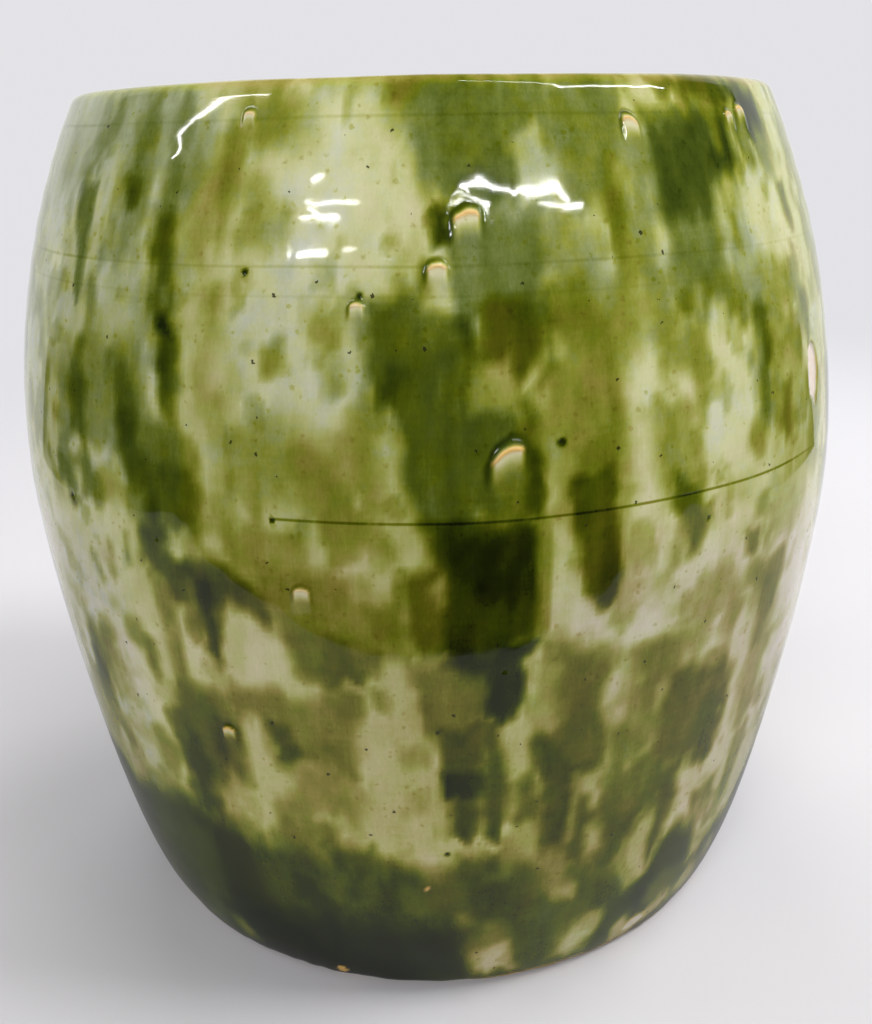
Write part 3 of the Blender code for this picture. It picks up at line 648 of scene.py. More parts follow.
def turned_shell_tree():
    """Turns a closed outline of points about +Z, closer together at the front."""
    tree = bpy.data.node_groups.new("turned shell", "GeometryNodeTree")
    group_socket(tree, "Outline", "NodeSocketGeometry")
    group_socket(tree, "Segments", "NodeSocketInt")
    group_socket(tree, "Front closeness", "NodeSocketFloat")
    group_socket(tree, "Weld", "NodeSocketFloat")
    group_socket(tree, "Finish", "NodeSocketMaterial")
    group_socket(tree, "Shell", "NodeSocketGeometry", "OUTPUT")
    given = tree.nodes.new("NodeGroupInput").outputs
    size = add(tree, "GeometryNodeAttributeDomainSize", {0: given["Outline"]}, component="MESH")
    rings = calc(tree, "ADD", size.outputs["Point Count"], 1.0)
    columns = calc(tree, "ADD", given["Segments"], 1.0)
    grid = add(tree, "GeometryNodeMeshGrid", {"Vertices X": columns, "Vertices Y": rings})
    index = tree.nodes.new("GeometryNodeInputIndex").outputs[0]
    column = calc(tree, "FLOOR", calc(tree, "DIVIDE", calc(tree, "ADD", index, 0.5), rings))
    row = calc(tree, "SUBTRACT", index, calc(tree, "MULTIPLY", column, rings))
    ring = calc(tree, "FLOORED_MODULO", row, size.outputs["Point Count"])
    share = calc(tree, "SUBTRACT", calc(tree, "DIVIDE", column, given["Segments"]), 0.5)
    even = calc(tree, "MULTIPLY", share, 2 * math.pi)
    pull = calc(tree, "MULTIPLY", calc(tree, "SINE", even), given["Front closeness"])
    turn = calc(tree, "SUBTRACT", even, pull)
    place = tree.nodes.new("GeometryNodeInputPosition").outputs[0]
    sample = add(
        tree,
        "GeometryNodeSampleIndex",
        {"Geometry": given["Outline"], "Value": place, "Index": ring},
        data_type="FLOAT_VECTOR",
        domain="POINT",
    )
    parts = separate(tree, sample.outputs[0])
    across = calc(tree, "MULTIPLY", parts["X"], calc(tree, "SINE", turn))
    back = calc(tree, "MULTIPLY", calc(tree, "MULTIPLY", parts["X"], calc(tree, "COSINE", turn)), -1.0)
    spot = add(tree, "ShaderNodeCombineXYZ", {"X": across, "Y": back, "Z": parts["Z"]}).outputs[0]
    bent = add(tree, "GeometryNodeSetPosition", {"Geometry": grid.outputs["Mesh"], "Position": spot})
    marked = add(
        tree,
        "GeometryNodeStoreNamedAttribute",
        {"Geometry": bent.outputs[0], "Name": "skin", "Value": parts["Y"]},
        data_type="FLOAT",
        domain="POINT",
    )
    welded = add(
        tree, "GeometryNodeMergeByDistance", {"Geometry": marked.outputs[0], "Distance": given["Weld"]}
    )
    shaded = add(tree, "GeometryNodeSetShadeSmooth", {"Geometry": welded.outputs[0]})
    real = add(tree, "GeometryNodeRealizeInstances", {"Geometry": shaded.outputs[0]})
    dressed = add(
        tree, "GeometryNodeSetMaterial", {"Geometry": real.outputs[0], "Material": given["Finish"]}
    )
    add(tree, "NodeGroupOutput", {"Shell": dressed.outputs[0]})
    return tree


def turned_shell(name, outline, skin, segments, closeness, finish):
    """A closed shell turned from an outline; skin is 1 on its visible face and 0 on its back."""
    mesh = bpy.data.meshes.new(name)
    points = np.stack((outline[:, 0], skin, outline[:, 1]), 1)
    mesh.from_pydata(points.tolist(), [], [])
    piece = bpy.data.objects.new(name, mesh)
    bpy.context.scene.collection.objects.link(piece)
    tree = bpy.data.node_groups.get("turned shell") or turned_shell_tree()
    turner = piece.modifiers.new("turned", "NODES")
    turner.node_group = tree
    values = {"Segments": segments, "Front closeness": closeness, "Weld": WELD, "Finish": finish}
    for item in tree.interface.items_tree:
        if item.name in values:
            turner[item.identifier] = values[item.name]
    graph = bpy.context.evaluated_depsgraph_get()
    piece.data = bpy.data.meshes.new_from_object(piece.evaluated_get(graph))
    piece.modifiers.clear()
    bpy.data.meshes.remove(mesh)
    piece.data.name = name
    return piece


def places(mesh):
    """Every vertex's position, azimuth in radians and height in mm."""
    points = np.empty(len(mesh.vertices) * 3)
    mesh.vertices.foreach_get("co", points)
    points = points.reshape(-1, 3)
    return points, np.arctan2(points[:, 0], -points[:, 1]), points[:, 2] / MM


def along_belly(azimuth):
    """The azimuth as a distance round the belly, in mm."""
    return azimuth / (2 * math.pi) * TURN


def skin_of(mesh):
    """The share of the visible face at each vertex: 0 on a shell's back."""
    values = np.empty(len(mesh.vertices), np.float32)
    mesh.attributes["skin"].data.foreach_get("value", values)
    return values.astype(float)


def normals_of(mesh):
    values = np.empty(len(mesh.vertices) * 3, np.float32)
    mesh.vertex_normals.foreach_get("vector", values)
    return values.reshape(-1, 3).astype(float)


def paint(mesh, name, values):
    """Keeps one value for each vertex under a name that the materials read."""
    layer = mesh.attributes.new(name, "FLOAT", "POINT")
    layer.data.foreach_set("value", values.astype(np.float32))


def move(mesh, points):
    mesh.vertices.foreach_set("co", points.ravel())
    mesh.update()


def out_of_round(points, azimuth, height):
    """The slight sag of the thrown wall, the same for clay and glaze, only ever inwards."""
    middle, spread = 1.2, 0.55
    flat = np.exp(-(((azimuth - middle) / spread) ** 2)) * smooth((height - 120) / 60)
    dip = -0.00075 * flat * smooth((246 - height) / 30) - 0.0003 * flat
    length = np.maximum(np.hypot(points[:, 0], points[:, 1]), 1e-6)
    share = np.clip(length / 0.05, 0, 1) * dip / length
    moved = points.copy()
    moved[:, :2] += points[:, :2] * share[:, None]
    return moved


# Where the glaze is thick and thin


class Mottle:
    """Smooth random values of -1 to 1 that join up round the jar; x and z in mm."""

    HEIGHT = 270

    def __init__(self, seed, wide, tall):
        chance = np.random.default_rng(seed)
        self.columns = max(4, round(TURN / wide))
        self.rows = int(self.HEIGHT / tall) + 4
        self.wide = self.columns / TURN
        self.tall = 1 / tall
        self.values = chance.random((self.rows, self.columns)) * 2 - 1

    def __call__(self, x, z):
        u = x * self.wide
        v = np.clip(z * self.tall + 1.0, 0, self.rows - 1.001)
        i, j = np.floor(u).astype(int), np.floor(v).astype(int)
        right, up = smooth(u - i), smooth(v - j)
        i, k = i % self.columns, (i + 1) % self.columns
        low = self.values[j, i] * (1 - right) + self.values[j, k] * right
        high = self.values[j + 1, i] * (1 - right) + self.values[j + 1, k] * right
        return low * (1 - up) + high * up


def run_shape(x, z, rough, run, soft):
    """How much one upright run covers: feathered above, rounded below, ragged at its sides."""
    azimuth, top, bottom, half = run
    aside = (x - azimuth / 360 * TURN + TURN / 2) % TURN - TURN / 2
    end = bottom + half * 0.9
    below = np.maximum(end - z, 0) / 0.9
    above = np.maximum(z - (top - half * 0.5), 0) * 0.8
    reach = np.sqrt(aside**2 + below**2 + above**2)
    width = half + rough * min(1.6, half / 5)
    return smooth((width + soft - reach) / (2 * soft))


def patch_cover(x, z, rough, soft, corners):
    """1 well inside a closed outline and 0 well outside it, with a soft and ragged edge."""
    points = np.array(corners, float).reshape(-1, 2)
    points[:, 0] *= TURN / 360
    reach = soft + 4
    close = (x > points[:, 0].min() - reach) & (x < points[:, 0].max() + reach)
    close &= (z > points[:, 1].min() - reach) & (z < points[:, 1].max() + reach)
    here, up = x[close], z[close]
    nearest = np.full(here.shape, 1e6)
    within = np.zeros(here.shape, bool)
    for first, last in zip(points, np.roll(points, -1, axis=0)):
        run, rise = last - first
        share = ((here - first[0]) * run + (up - first[1]) * rise) / (run * run + rise * rise)
        share = np.clip(share, 0, 1)
        away = np.hypot(here - first[0] - share * run, up - first[1] - share * rise)
        nearest = np.minimum(nearest, away)
        if rise:
            cross = (up - first[1]) / rise * run + first[0]
            within ^= ((first[1] > up) != (last[1] > up)) & (here < cross)
    cover = np.zeros(x.shape)
    inward = np.where(within, nearest, -nearest) + rough[close]
    cover[close] = smooth(0.5 + inward / (2 * soft))
    return cover


def unseen_runs():
    """Depths and outlines of the broad patches, pale patches and runs on the side that isn't shown."""
    chance = np.random.default_rng(21)
    rows = []
    for number in range(210):
        azimuth = 66 + chance.random() * 228
        azimuth = azimuth - 360 if azimuth > 180 else azimuth
        top = 45 + chance.random() * 205
        length = 14 + 26 * chance.random() ** 1.5
        half = 2.5 + 6 * chance.random() ** 2
        if number < 60:
            rows.append((1.1 + 1.9 * chance.random(), (azimuth, top, top - length * 1.8, half + 5)))
        elif chance.random() < 0.38:
            rows.append((0.1 + 0.5 * chance.random(), (azimuth, top, top - length, half * 1.7)))
        else:
            rows.append((1.1 + 2.3 * chance.random() ** 1.4, (azimuth, top, top - length, half)))
    return rows


def glaze_depth(azimuth, z):
    """Depth of green at each place: 0 is clear over cream clay, 4 nearly black."""
    x = along_belly(azimuth)
    wide, cloud, small = Mottle(3, 14, 22), Mottle(6, 8, 11), Mottle(9, 4.5, 6)
    fibre, thread, fine = Mottle(7, 3.4, 40), Mottle(8, 2.2, 22), Mottle(5, 2.6, 3.4)
    rough = 1.7 * wide(x, z) + 1.5 * cloud(x + 40, z) + 1.1 * small(x, z) + 0.6 * thread(x, z)
    x_bent = x + 0.9 * cloud(x + 99, z) + 0.7 * small(x + 55, z)
    z_bent = z + 1.2 * cloud(x, z + 3) + 1.0 * small(x + 21, z) + 1.0 * thread(x, z)
    large, middling, little = Mottle(23, 11, 15), Mottle(24, 5.5, 8), Mottle(25, 2.8, 4)
    spread = 0.5 * large(x, z) + 0.35 * middling(x, z) + 0.2 * little(x, z)
    depth = 0.2 + 0.75 * smooth((spread + 0.2) / 0.5) + 0.08 * fibre(x, z)
    for level, run in unseen_runs():
        cover = run_shape(x_bent, z_bent, rough, run, 2.6) * 0.93
        depth += (level * (1 + 0.3 * spread) - depth) * cover
    hue = np.zeros(x.shape)
    ragged = 0.55 * small(x, z) + 0.5 * fine(x, z) + 0.4 * thread(x, z)
    for level, soft, lean, corners in PATCHES:
        cover = patch_cover(x_bent, z_bent, ragged * min(2.0, soft), soft * 1.5, corners) * 0.95
        depth += (level * (1 + 0.25 * spread) - depth) * cover
        hue += (lean - hue) * cover
    ends = np.array(BAND_TOP, float)
    edge, deep = (np.interp(np.degrees(azimuth), ends[:, 0], ends[:, k]) for k in (1, 2))
    band = smooth((edge + 8.5 - z_bent - 0.7 * rough) / 12)
    thin = np.zeros(x.shape)
    deep += 0.35 * wide(x, z) + 0.2 * small(x + 30, z)
    cast = 1.0 + 0.6 * cloud(x + 70, z)
    for level, soft, lean, corners in FOOT_PATCHES:
        cover = patch_cover(x_bent, z_bent, ragged * min(2.0, soft), soft * 1.6, corners) * 0.95
        deep += (level - deep) * cover
        cast += (lean - cast) * cover
        thin = np.maximum(thin, cover * (level < 2))
    depth += (deep - depth) * np.maximum(band, thin)
    hue += (cast - hue) * np.maximum(band, thin)
    large, middling, little = Mottle(26, 8, 11), Mottle(27, 4, 6), Mottle(28, 2.4, 3)
    spots = 0.5 * large(x, z) + 0.4 * middling(x, z) + 0.25 * little(x, z)
    high = smooth((z - 90) / 60)
    depth += (0.25 + 0.2 * high) * smooth((spots - 0.14) / 0.36) * smooth((1.0 - depth) / 0.6)
    strength = (0.05 + 0.12 * np.minimum(depth, 1.8)) * (0.6 + 0.4 * high)
    grain = 0.5 * fibre(x + 20, z) + 0.6 * thread(x, z) + 0.7 * small(x + 10, z) + 0.6 * fine(x, z)
    depth += strength * grain
    return np.clip(depth, 0, DEEPEST), hue


def beside(azimuth, z, spot):
    """How far each place is to the right of a spot and below it, in mm."""
    aside = (np.degrees(azimuth) - spot[0] + 180) % 360 - 180
    return aside / 360 * TURN, spot[1] - z


def near(azimuth, z, spot):
    """Soft round mark of 1 at a spot, falling to 0 at its half widths."""
    aside, below = beside(azimuth, z, spot)
    return smooth(1 - np.hypot(aside / spot[2], below / spot[3]))


class OuterCoat:
    """The outer glaze at each vertex: relief in mm, depth of green, warmth of hue, and how bare it is."""

    def __init__(self, azimuth, z):
        x, degrees = along_belly(azimuth), np.degrees(azimuth)
        depth, hue = glaze_depth(azimuth, z)
        slow, broad = Mottle(12, 40, 30), Mottle(13, 26, 24)
        warm = 0.2 + 0.34 * smooth((z - 115) / 75) + 0.42 * hue + 0.18 * smooth((-24 - degrees) / 8)
        large, middling, small = Mottle(14, 22, 20), Mottle(15, 8, 12), Mottle(16, 3, 5)
        warm += 0.14 * large(x, z) + 0.14 * middling(x, z) + 0.12 * small(x, z)
        ridges = 0.012 + 0.05 * smooth((z - 192) / 12) * smooth((236 - z) / 8)
        ridges *= 1 - 0.9 * smooth((24 - np.abs(degrees)) / 5)
        relief = -0.24 + ridges * np.sin(z * 2 * math.pi / 8.6 + 1.6 * slow(x, z))
        relief += 0.10 * broad(x, z) + 0.035 * np.minimum(depth, 3.2)
        self.azimuth, self.degrees, self.x, self.z = azimuth, degrees, x, z
        self.depth, self.warm, self.relief = depth, warm, relief
        self.bare = np.zeros(len(z))

    def raise_blisters(self):
        """Each blister has a golden crest, a pale body, a dark hood round it and a pale trail below."""
        uneven = 0.1 * Mottle(34, 2, 2.4)(self.x, self.z)
        for azimuth, height, half, proud, gold, slope in BLISTERS:
            aside, below = beside(self.azimuth, self.z, (azimuth, height))
            aside = aside / half
            crest = below / half + slope * aside + uneven - 0.4 * aside**2
            far = np.abs(aside)
            body = smooth((1.15 - far) / 0.45) * smooth(0.5 + crest / 0.3) * smooth(1 - (crest - 0.3) / 1.7)
            line = smooth((1.1 - far) / 0.4) * smooth(1 - np.abs(crest - 0.2) / 0.26)
            out = np.hypot(np.maximum(far - 0.8, 0), np.maximum(-crest, 0))
            hood = smooth(1 - np.abs(out - 0.38) / 0.45) * smooth(1 - (crest - 0.2) / 1.6)
            hood *= smooth(0.85 - 0.4 * aside)
            trail = smooth((1.25 - far) / 0.7) * smooth(crest) * smooth(1 - (crest - 1) / 5)
            bump = smooth((1.45 - far) / 0.8) * smooth(0.7 + crest / 0.6) * smooth(1 - (crest - 0.5) / 2.6)
            self.relief += proud * bump
            self.depth += (3.2 - self.depth) * hood * min(1, proud)
            self.depth += np.minimum(0.9 - self.depth, 0) * trail * 0.6
            self.depth += (-0.1 - self.depth) * body
            self.warm += (0.15 - self.warm) * body
            self.warm -= line
            self.bare = np.maximum(self.bare, gold * (0.88 * line + 0.2 * body * smooth(1 - crest)))

    def sink_pits(self):
        uneven = 0.3 * Mottle(36, 1.2, 1.2)(self.x, self.z)
        for azimuth, height, radius in PITS:
            away = np.hypot(*beside(self.azimuth, self.z, (azimuth, height))) / radius + uneven
            self.relief -= 0.4 * smooth(1.1 - away)
            self.depth += (DEEPEST - self.depth) * smooth((1.15 - away) / 0.4)
            self.depth += (2.4 - self.depth) * 0.5 * smooth(1.9 - away)

    def chip_and_wear(self):
        """The chip, the rusty spots, the worn place, and the lower edge that was wiped at the right."""
        azimuth, x, z = self.azimuth, self.x, self.z
        chip = smooth((near(azimuth, z, CHIP) + 0.16 * Mottle(17, 3, 3)(x, z) - 0.32) / 0.14)
        self.relief = self.relief * (1 - chip) - 0.72 * chip
        self.bare = np.maximum(self.bare, chip)
        self.warm += (1 - self.warm) * chip
        for spot in RUST_SPOTS:
            rust = smooth(near(azimuth, z, spot) * 2.4 - 0.5)
            self.bare = np.maximum(self.bare, rust * 0.85)
            self.warm -= rust
        worn = smooth(near(azimuth, z, WORN) * 1.6 + 0.4 * Mottle(35, 4, 3)(x, z) - 0.3)
        self.bare = np.maximum(self.bare, worn * 0.55)
        self.warm += (0.8 - self.warm) * worn
        wiped = np.interp(self.degrees, (2, 10, 55, 70), (0, 1, 1, 0))
        wiped *= smooth((3.4 - z + 0.5 * Mottle(37, 5, 9)(x, z)) / 1.6)
        self.bare = np.maximum(self.bare, 0.6 * wiped)
        self.warm += (0.05 - self.warm) * wiped

    def thin_at_rim(self):
        """Glaze runs off the rim: it is thin and amber there, and its relief only goes inwards."""
        rim = smooth((self.z - 240.2) / 2.6)
        self.warm -= 0.55 * rim
        self.depth += (0.9 - self.depth) * 0.45 * rim
        self.relief = np.where(self.z > 236, np.minimum(self.relief, -0.03), self.relief)

    def lower_edge(self):
        """How far the edge at the foot is lifted, in metres."""
        x, z = self.x, self.z
        edge = np.exp(-np.maximum(z - BARE_BAND / MM, 0) / 4)
        lift = edge * (0.2 + 0.3 * Mottle(18, 9, 50)(x, z) + 0.2 * Mottle(19, 4, 50)(x, z)) * MM
        return np.maximum(lift, 0)

    def scored(self):
        """How clearly the scored lines show; the lowest one runs over a part of the front alone."""
        high = np.interp(self.degrees, (-50, -40, -10, 20, 40), (1, 0.3, 0.5, 0.6, 0.2))
        return np.where(self.z > 178, high, np.interp(self.degrees, (-17, -16, 46, 56), (0, 1, 1, 0)))

    def milk_and_reflection(self):
        """How much bluish milky tinge to paint, partly thick glaze and partly a painted reflection of the
        pale table: at the lower sides, and low on the right half.
        """
        degrees, z = self.degrees, self.z
        sides = np.maximum(smooth((degrees - 10) / 8), smooth((-36 - degrees) / 6))
        foot = smooth((62 - z) / 15) * smooth((degrees + 6) / 6)
        return np.maximum(smooth((150 - z) / 25) * sides, foot)


def dress_outer(mesh, strength):
    """Gives the outer coat its relief, and the values that its finish reads."""
    points, azimuth, z = places(mesh)
    coat = OuterCoat(azimuth, z)
    coat.raise_blisters()
    coat.sink_pits()
    coat.chip_and_wear()
    coat.thin_at_rim()
    points += normals_of(mesh) * (skin_of(mesh) * coat.relief * strength * MM)[:, None]
    points[:, 2] += coat.lower_edge()
    move(mesh, out_of_round(points, azimuth, z))
    paint(mesh, "green_depth", coat.depth)
    paint(mesh, "warmth", np.clip(coat.warm, 0, 1))
    paint(mesh, "bare", coat.bare)
    paint(mesh, "score", coat.scored())
    paint(mesh, "milk_and_reflection", coat.milk_and_reflection())


# Finishes


def noise(tree, place, scale, detail=2.0, roughness=0.5):
    inputs = {"Vector": place, "Scale": scale, "Detail": detail, "Roughness": roughness}
    return add(tree, "ShaderNodeTexNoise", inputs).outputs[0]


def stretched(tree, place, scale):
    """The place drawn out along or across the wall."""
    return add(tree, "ShaderNodeVectorMath", {0: place, 1: scale}, operation="MULTIPLY").outputs[0]


def vector_length(tree, vector):
    return add(tree, "ShaderNodeVectorMath", {0: vector}, operation="LENGTH").outputs["Value"]


def ranged(tree, value, low, high, start=0.0, end=1.0):
    """A soft step of the value between low and high, high being where it ends."""
    names = {"Value": value, "From Min": low, "From Max": high, "To Min": start, "To Max": end}
    return add(tree, "ShaderNodeMapRange", names, interpolation_type="SMOOTHSTEP").outputs[0]


def blend(tree, share, first, second, mode="MIX"):
    """The second colour over the first one, by its share."""
    made = add(tree, "ShaderNodeMix", {0: share, 6: first, 7: second}, data_type="RGBA", blend_type=mode)
    return made.outputs[2]


def ramp(tree, value, stops):
    """A colour for each value, from stops of a place and a colour."""
    made = add(tree, "ShaderNodeValToRGB", {0: value})
    line = made.color_ramp.elements
    while len(line) < len(stops):
        line.new(0.5)
    for element, (place, colour) in zip(line, stops):
        element.position = place
        element.color = (*colour, 1.0)
    return made.outputs[0]


WHEEL_MARKS = ("Streaks", "Cloud", "Turning", "Specks", "Freckles")


def wheel_marks_group():
    """Fine streaks down the wall and turning marks round it, and the specks in the glaze."""
    tree = bpy.data.node_groups.new("wheel marks", "ShaderNodeTree")
    group_socket(tree, "Place", "NodeSocketVector")
    group_socket(tree, "Speck size", "NodeSocketFloat")
    for name in WHEEL_MARKS:
        group_socket(tree, name, "NodeSocketFloat", "OUTPUT")
    given = tree.nodes.new("NodeGroupInput").outputs
    place = given["Place"]
    streaks = noise(tree, stretched(tree, place, (1, 1, 0.1)), 620.0, 4.0, 0.7)
    cloud = noise(tree, place, 330.0, 5.0, 0.72)
    turning = noise(tree, stretched(tree, place, (0.03, 0.03, 1)), 900.0, 2.0, 0.7)
    ripple = add(tree, "ShaderNodeTexNoise", {"Vector": place, "Scale": 1400.0, "Detail": 1.0})
    bend = stretched(tree, ripple.outputs["Color"], (0.0011, 0.0011, 0.0011))
    bend = add(tree, "ShaderNodeVectorMath", {0: place, 1: bend}, operation="ADD").outputs[0]
    specks_apart = 190.0
    cells = add(tree, "ShaderNodeTexVoronoi", {"Vector": bend, "Scale": specks_apart}).outputs
    chance = separate(tree, cells["Color"])["X"]
    limit = calc(tree, "MULTIPLY", calc(tree, "POWER", chance, 1.6), given["Speck size"])
    specks = calc(tree, "LESS_THAN", calc(tree, "DIVIDE", cells["Distance"], specks_apart), limit)
    dots = add(tree, "ShaderNodeTexVoronoi", {"Vector": bend, "Scale": 560.0}).outputs
    some = separate(tree, dots["Color"])["X"]
    reach = calc(tree, "MULTIPLY", calc(tree, "POWER", some, 5.0), 0.4)
    freckles = ranged(tree, calc(tree, "SUBTRACT", reach, dots["Distance"]), -0.12, 0.2)
    values = (streaks, cloud, turning, specks, freckles)
    add(tree, "NodeGroupOutput", dict(zip(WHEEL_MARKS, values)))
    return tree


def material(name):
    """A new material and its empty tree."""
    made = bpy.data.materials.new(name)
    made.use_nodes = True
    made.node_tree.nodes.clear()
    return made, made.node_tree


def wheel_marks(tree, speck_size):
    """The place on the object, and the shared wheel marks there."""
    place = tree.nodes.new("ShaderNodeTexCoord").outputs["Object"]
    marks = tree.nodes.new("ShaderNodeGroup")
    marks.node_tree = bpy.data.node_groups.get("wheel marks") or wheel_marks_group()
    tree.links.new(place, marks.inputs["Place"])
    marks.inputs["Speck size"].default_value = speck_size
    return place, marks.outputs


def finish_with(tree, colour, rough, bumps):
    """The shader and the output of a material, with its relief in metres."""
    bump = add(tree, "ShaderNodeBump", {"Height": bumps, "Strength": 1.0, "Distance": 1.0})
    inputs = {"Base Color": colour, "Roughness": rough, "IOR": 1.5, "Normal": bump.outputs[0]}
    shader = add(tree, "ShaderNodeBsdfPrincipled", inputs)
    add(tree, "ShaderNodeOutputMaterial", {"Surface": shader.outputs[0]})


def attribute(tree, name):
    """A value that was painted on the mesh."""
    return add(tree, "ShaderNodeAttribute", attribute_name=name).outputs["Fac"]


def tinted(stops, red, green, blue):
    """The glaze colours leaning to one side, more so where it is deep."""
    rows = []
    for depth, colour in stops:
        lean = min(0.3 + depth / 1.5, 1)
        parts = linear(colour)
        pulls = (red, green, blue)
        rows.append((depth / DEEPEST, tuple(p * (1 + (k - 1) * lean) for p, k in zip(parts, pulls))))
    return rows


def three_hues(tree, share, warm):
    """Amber, leaf green and blue green glaze of the same depth, by how far warmth leans to green."""
    amber = ramp(tree, share, tinted(GREENS, 1.13, 0.95, 0.92))
    leaf = ramp(tree, share, tinted(GREENS, 0.93, 1.02, 0.48))
    teal = ramp(tree, share, tinted(GREENS, 0.84, 1.0, 1.9))
    half = calc(tree, "MULTIPLY", warm, 2.0)
    colour = blend(tree, calc(tree, "MINIMUM", half, 1.0), amber, leaf)
    return blend(tree, calc(tree, "SUBTRACT", half, 1.0, clamp=True), colour, teal)


def mottled_glaze(colours):
    """Glossy glaze by depth of green and warmth, with specks, scored lines and bare clay."""
    made, tree = material("mottled green glaze")
    place, marks = wheel_marks(tree, SPECK_SIZE)
    depth = attribute(tree, "green_depth")
    grain = calc(tree, "SUBTRACT", marks["Streaks"], 0.5)
    cloud = calc(tree, "SUBTRACT", marks["Cloud"], 0.5)
    lines = calc(tree, "SUBTRACT", marks["Turning"], 0.5)
    swing = calc(tree, "ADD", calc(tree, "MULTIPLY", grain, 0.9), calc(tree, "MULTIPLY", cloud, 1.0))
    fine = calc(tree, "SUBTRACT", noise(tree, stretched(tree, place, (1, 1, 0.3)), 1900.0, 2.0, 0.6), 0.5)
    swing = calc(tree, "MULTIPLY_ADD", lines, 0.4, swing)
    swing = calc(tree, "MULTIPLY_ADD", fine, 0.8, swing)
    power = calc(tree, "MULTIPLY_ADD", calc(tree, "MINIMUM", depth, 1.6), 0.34, 0.1)
    depth = calc(tree, "MULTIPLY_ADD", swing, power, depth)
    depth = calc(tree, "MULTIPLY_ADD", marks["Freckles"], 0.28, depth)
    height = separate(tree, place)["Z"]
    sway = noise(tree, stretched(tree, place, (1, 1, 0)), 14.0, 1.0)
    sway = calc(tree, "MULTIPLY", calc(tree, "SUBTRACT", sway, 0.5), 0.0016)
    swayed = calc(tree, "ADD", height, sway)
    scored = 0.0
    for at, strong in SCORED_LINES:
        away = calc(tree, "ABSOLUTE", calc(tree, "SUBTRACT", swayed, at))
        line = calc(tree, "MULTIPLY", ranged(tree, away, 0.0005, 0.0001), strong)
        scored = calc(tree, "MAXIMUM", line, scored)
    broken = ranged(tree, noise(tree, place, 120.0, 4.0, 0.7), 0.25, 0.50)
    scored = calc(tree, "MULTIPLY", calc(tree, "MULTIPLY", scored, broken), attribute(tree, "score"))
    depth = calc(tree, "MULTIPLY_ADD", scored, 1.5, depth)
    share = calc(tree, "DIVIDE", depth, DEEPEST, clamp=True)
    shift = calc(tree, "SUBTRACT", noise(tree, place, 160.0, 4.0, 0.7), 0.5)
    shift = calc(tree, "MULTIPLY_ADD", shift, 1.3, attribute(tree, "warmth"))
    warm = calc(tree, "MULTIPLY_ADD", marks["Freckles"], -0.25, shift, clamp=True)
    colour = three_hues(tree, share, warm)
    # Bluish milky tinge at the lower sides and the foot: partly thick glaze, partly a painted reflection of
    # the pale table
    colour = blend(tree, attribute(tree, "milk_and_reflection"), colour, MILK_AND_REFLECTION_TINT, "MULTIPLY")
    colour = blend(tree, calc(tree, "MULTIPLY", marks["Specks"], 0.85), colour, (0.015, 0.013, 0.006, 1))
    bare = attribute(tree, "bare")
    pink = ranged(tree, warm, 0.35, 0.9)
    clay = blend(tree, pink, GOLDEN_CLAY, PINK_CLAY)
    clay = blend(tree, calc(tree, "MULTIPLY", marks["Cloud"], 0.3), clay, (*colours.biscuit, 1))
    colour = blend(tree, bare, colour, clay)
    rough = calc(tree, "MULTIPLY_ADD", marks["Cloud"], 0.06, 0.03)
    rough = calc(tree, "MULTIPLY_ADD", bare, 0.5, rough)
    wave = noise(tree, stretched(tree, place, (1, 1, 0.8)), 70.0, 1.0)
    bumps = calc(tree, "MULTIPLY", wave, 0.00010)
    bumps = calc(tree, "MULTIPLY_ADD", marks["Turning"], 0.000002, bumps)
    bumps = calc(tree, "MULTIPLY_ADD", scored, -0.00002, bumps)
    bumps = calc(tree, "MULTIPLY_ADD", marks["Specks"], -0.0001, bumps)
    bumps = calc(tree, "MULTIPLY_ADD", calc(tree, "MULTIPLY", bare, marks["Cloud"]), 0.0003, bumps)
    finish_with(tree, colour, rough, bumps)
    return made


def pale_glaze():
    """Thin glaze with runs down the inner wall, a pool on the floor and turning ridges."""
    made, tree = material("pale green glaze")
    place, marks = wheel_marks(tree, SPECK_SIZE)
    height = separate(tree, place)["Z"]
    runs = noise(tree, stretched(tree, place, (1, 1, 0.22)), 62.0, 3.0, 0.55)
    patches = noise(tree, place, 26.0, 3.0, 0.5)
    depth = calc(tree, "MULTIPLY_ADD", ranged(tree, runs, 0.5, 0.72), 1.5, 0.3)
    depth = calc(tree, "MULTIPLY_ADD", ranged(tree, patches, 0.48, 0.7), 0.9, depth)
    pool = ranged(tree, height, 0.034, 0.015)
    depth = calc(tree, "MULTIPLY_ADD", pool, 0.8, depth)
    swing = calc(tree, "SUBTRACT", marks["Streaks"], 0.5)
    depth = calc(tree, "MULTIPLY_ADD", swing, 0.7, depth)
    share = calc(tree, "DIVIDE", depth, DEEPEST, clamp=True)
    colour = three_hues(tree, share, ranged(tree, noise(tree, place, 40.0), 0.3, 0.8))
    colour = blend(tree, calc(tree, "MULTIPLY", marks["Specks"], 0.7), colour, (0.03, 0.025, 0.01, 1))
    rough = calc(tree, "MULTIPLY_ADD", marks["Cloud"], 0.08, 0.05)
    away = vector_length(tree, stretched(tree, place, (1, 1, 0)))
    ridges = calc(tree, "SINE", calc(tree, "MULTIPLY", away, 780.0))
    flat = ranged(tree, height, 0.020, 0.016)
    walls = calc(tree, "SINE", calc(tree, "MULTIPLY", height, 700.0))
    walls = calc(tree, "MULTIPLY", walls, calc(tree, "SUBTRACT", 1.0, flat))
    ridges = calc(tree, "MULTIPLY_ADD", ridges, flat, walls)
    bumps = calc(tree, "MULTIPLY", noise(tree, place, 60.0), 0.0003)
    bumps = calc(tree, "MULTIPLY_ADD", ridges, 0.00007, bumps)
    finish_with(tree, colour, rough, bumps)
    return made


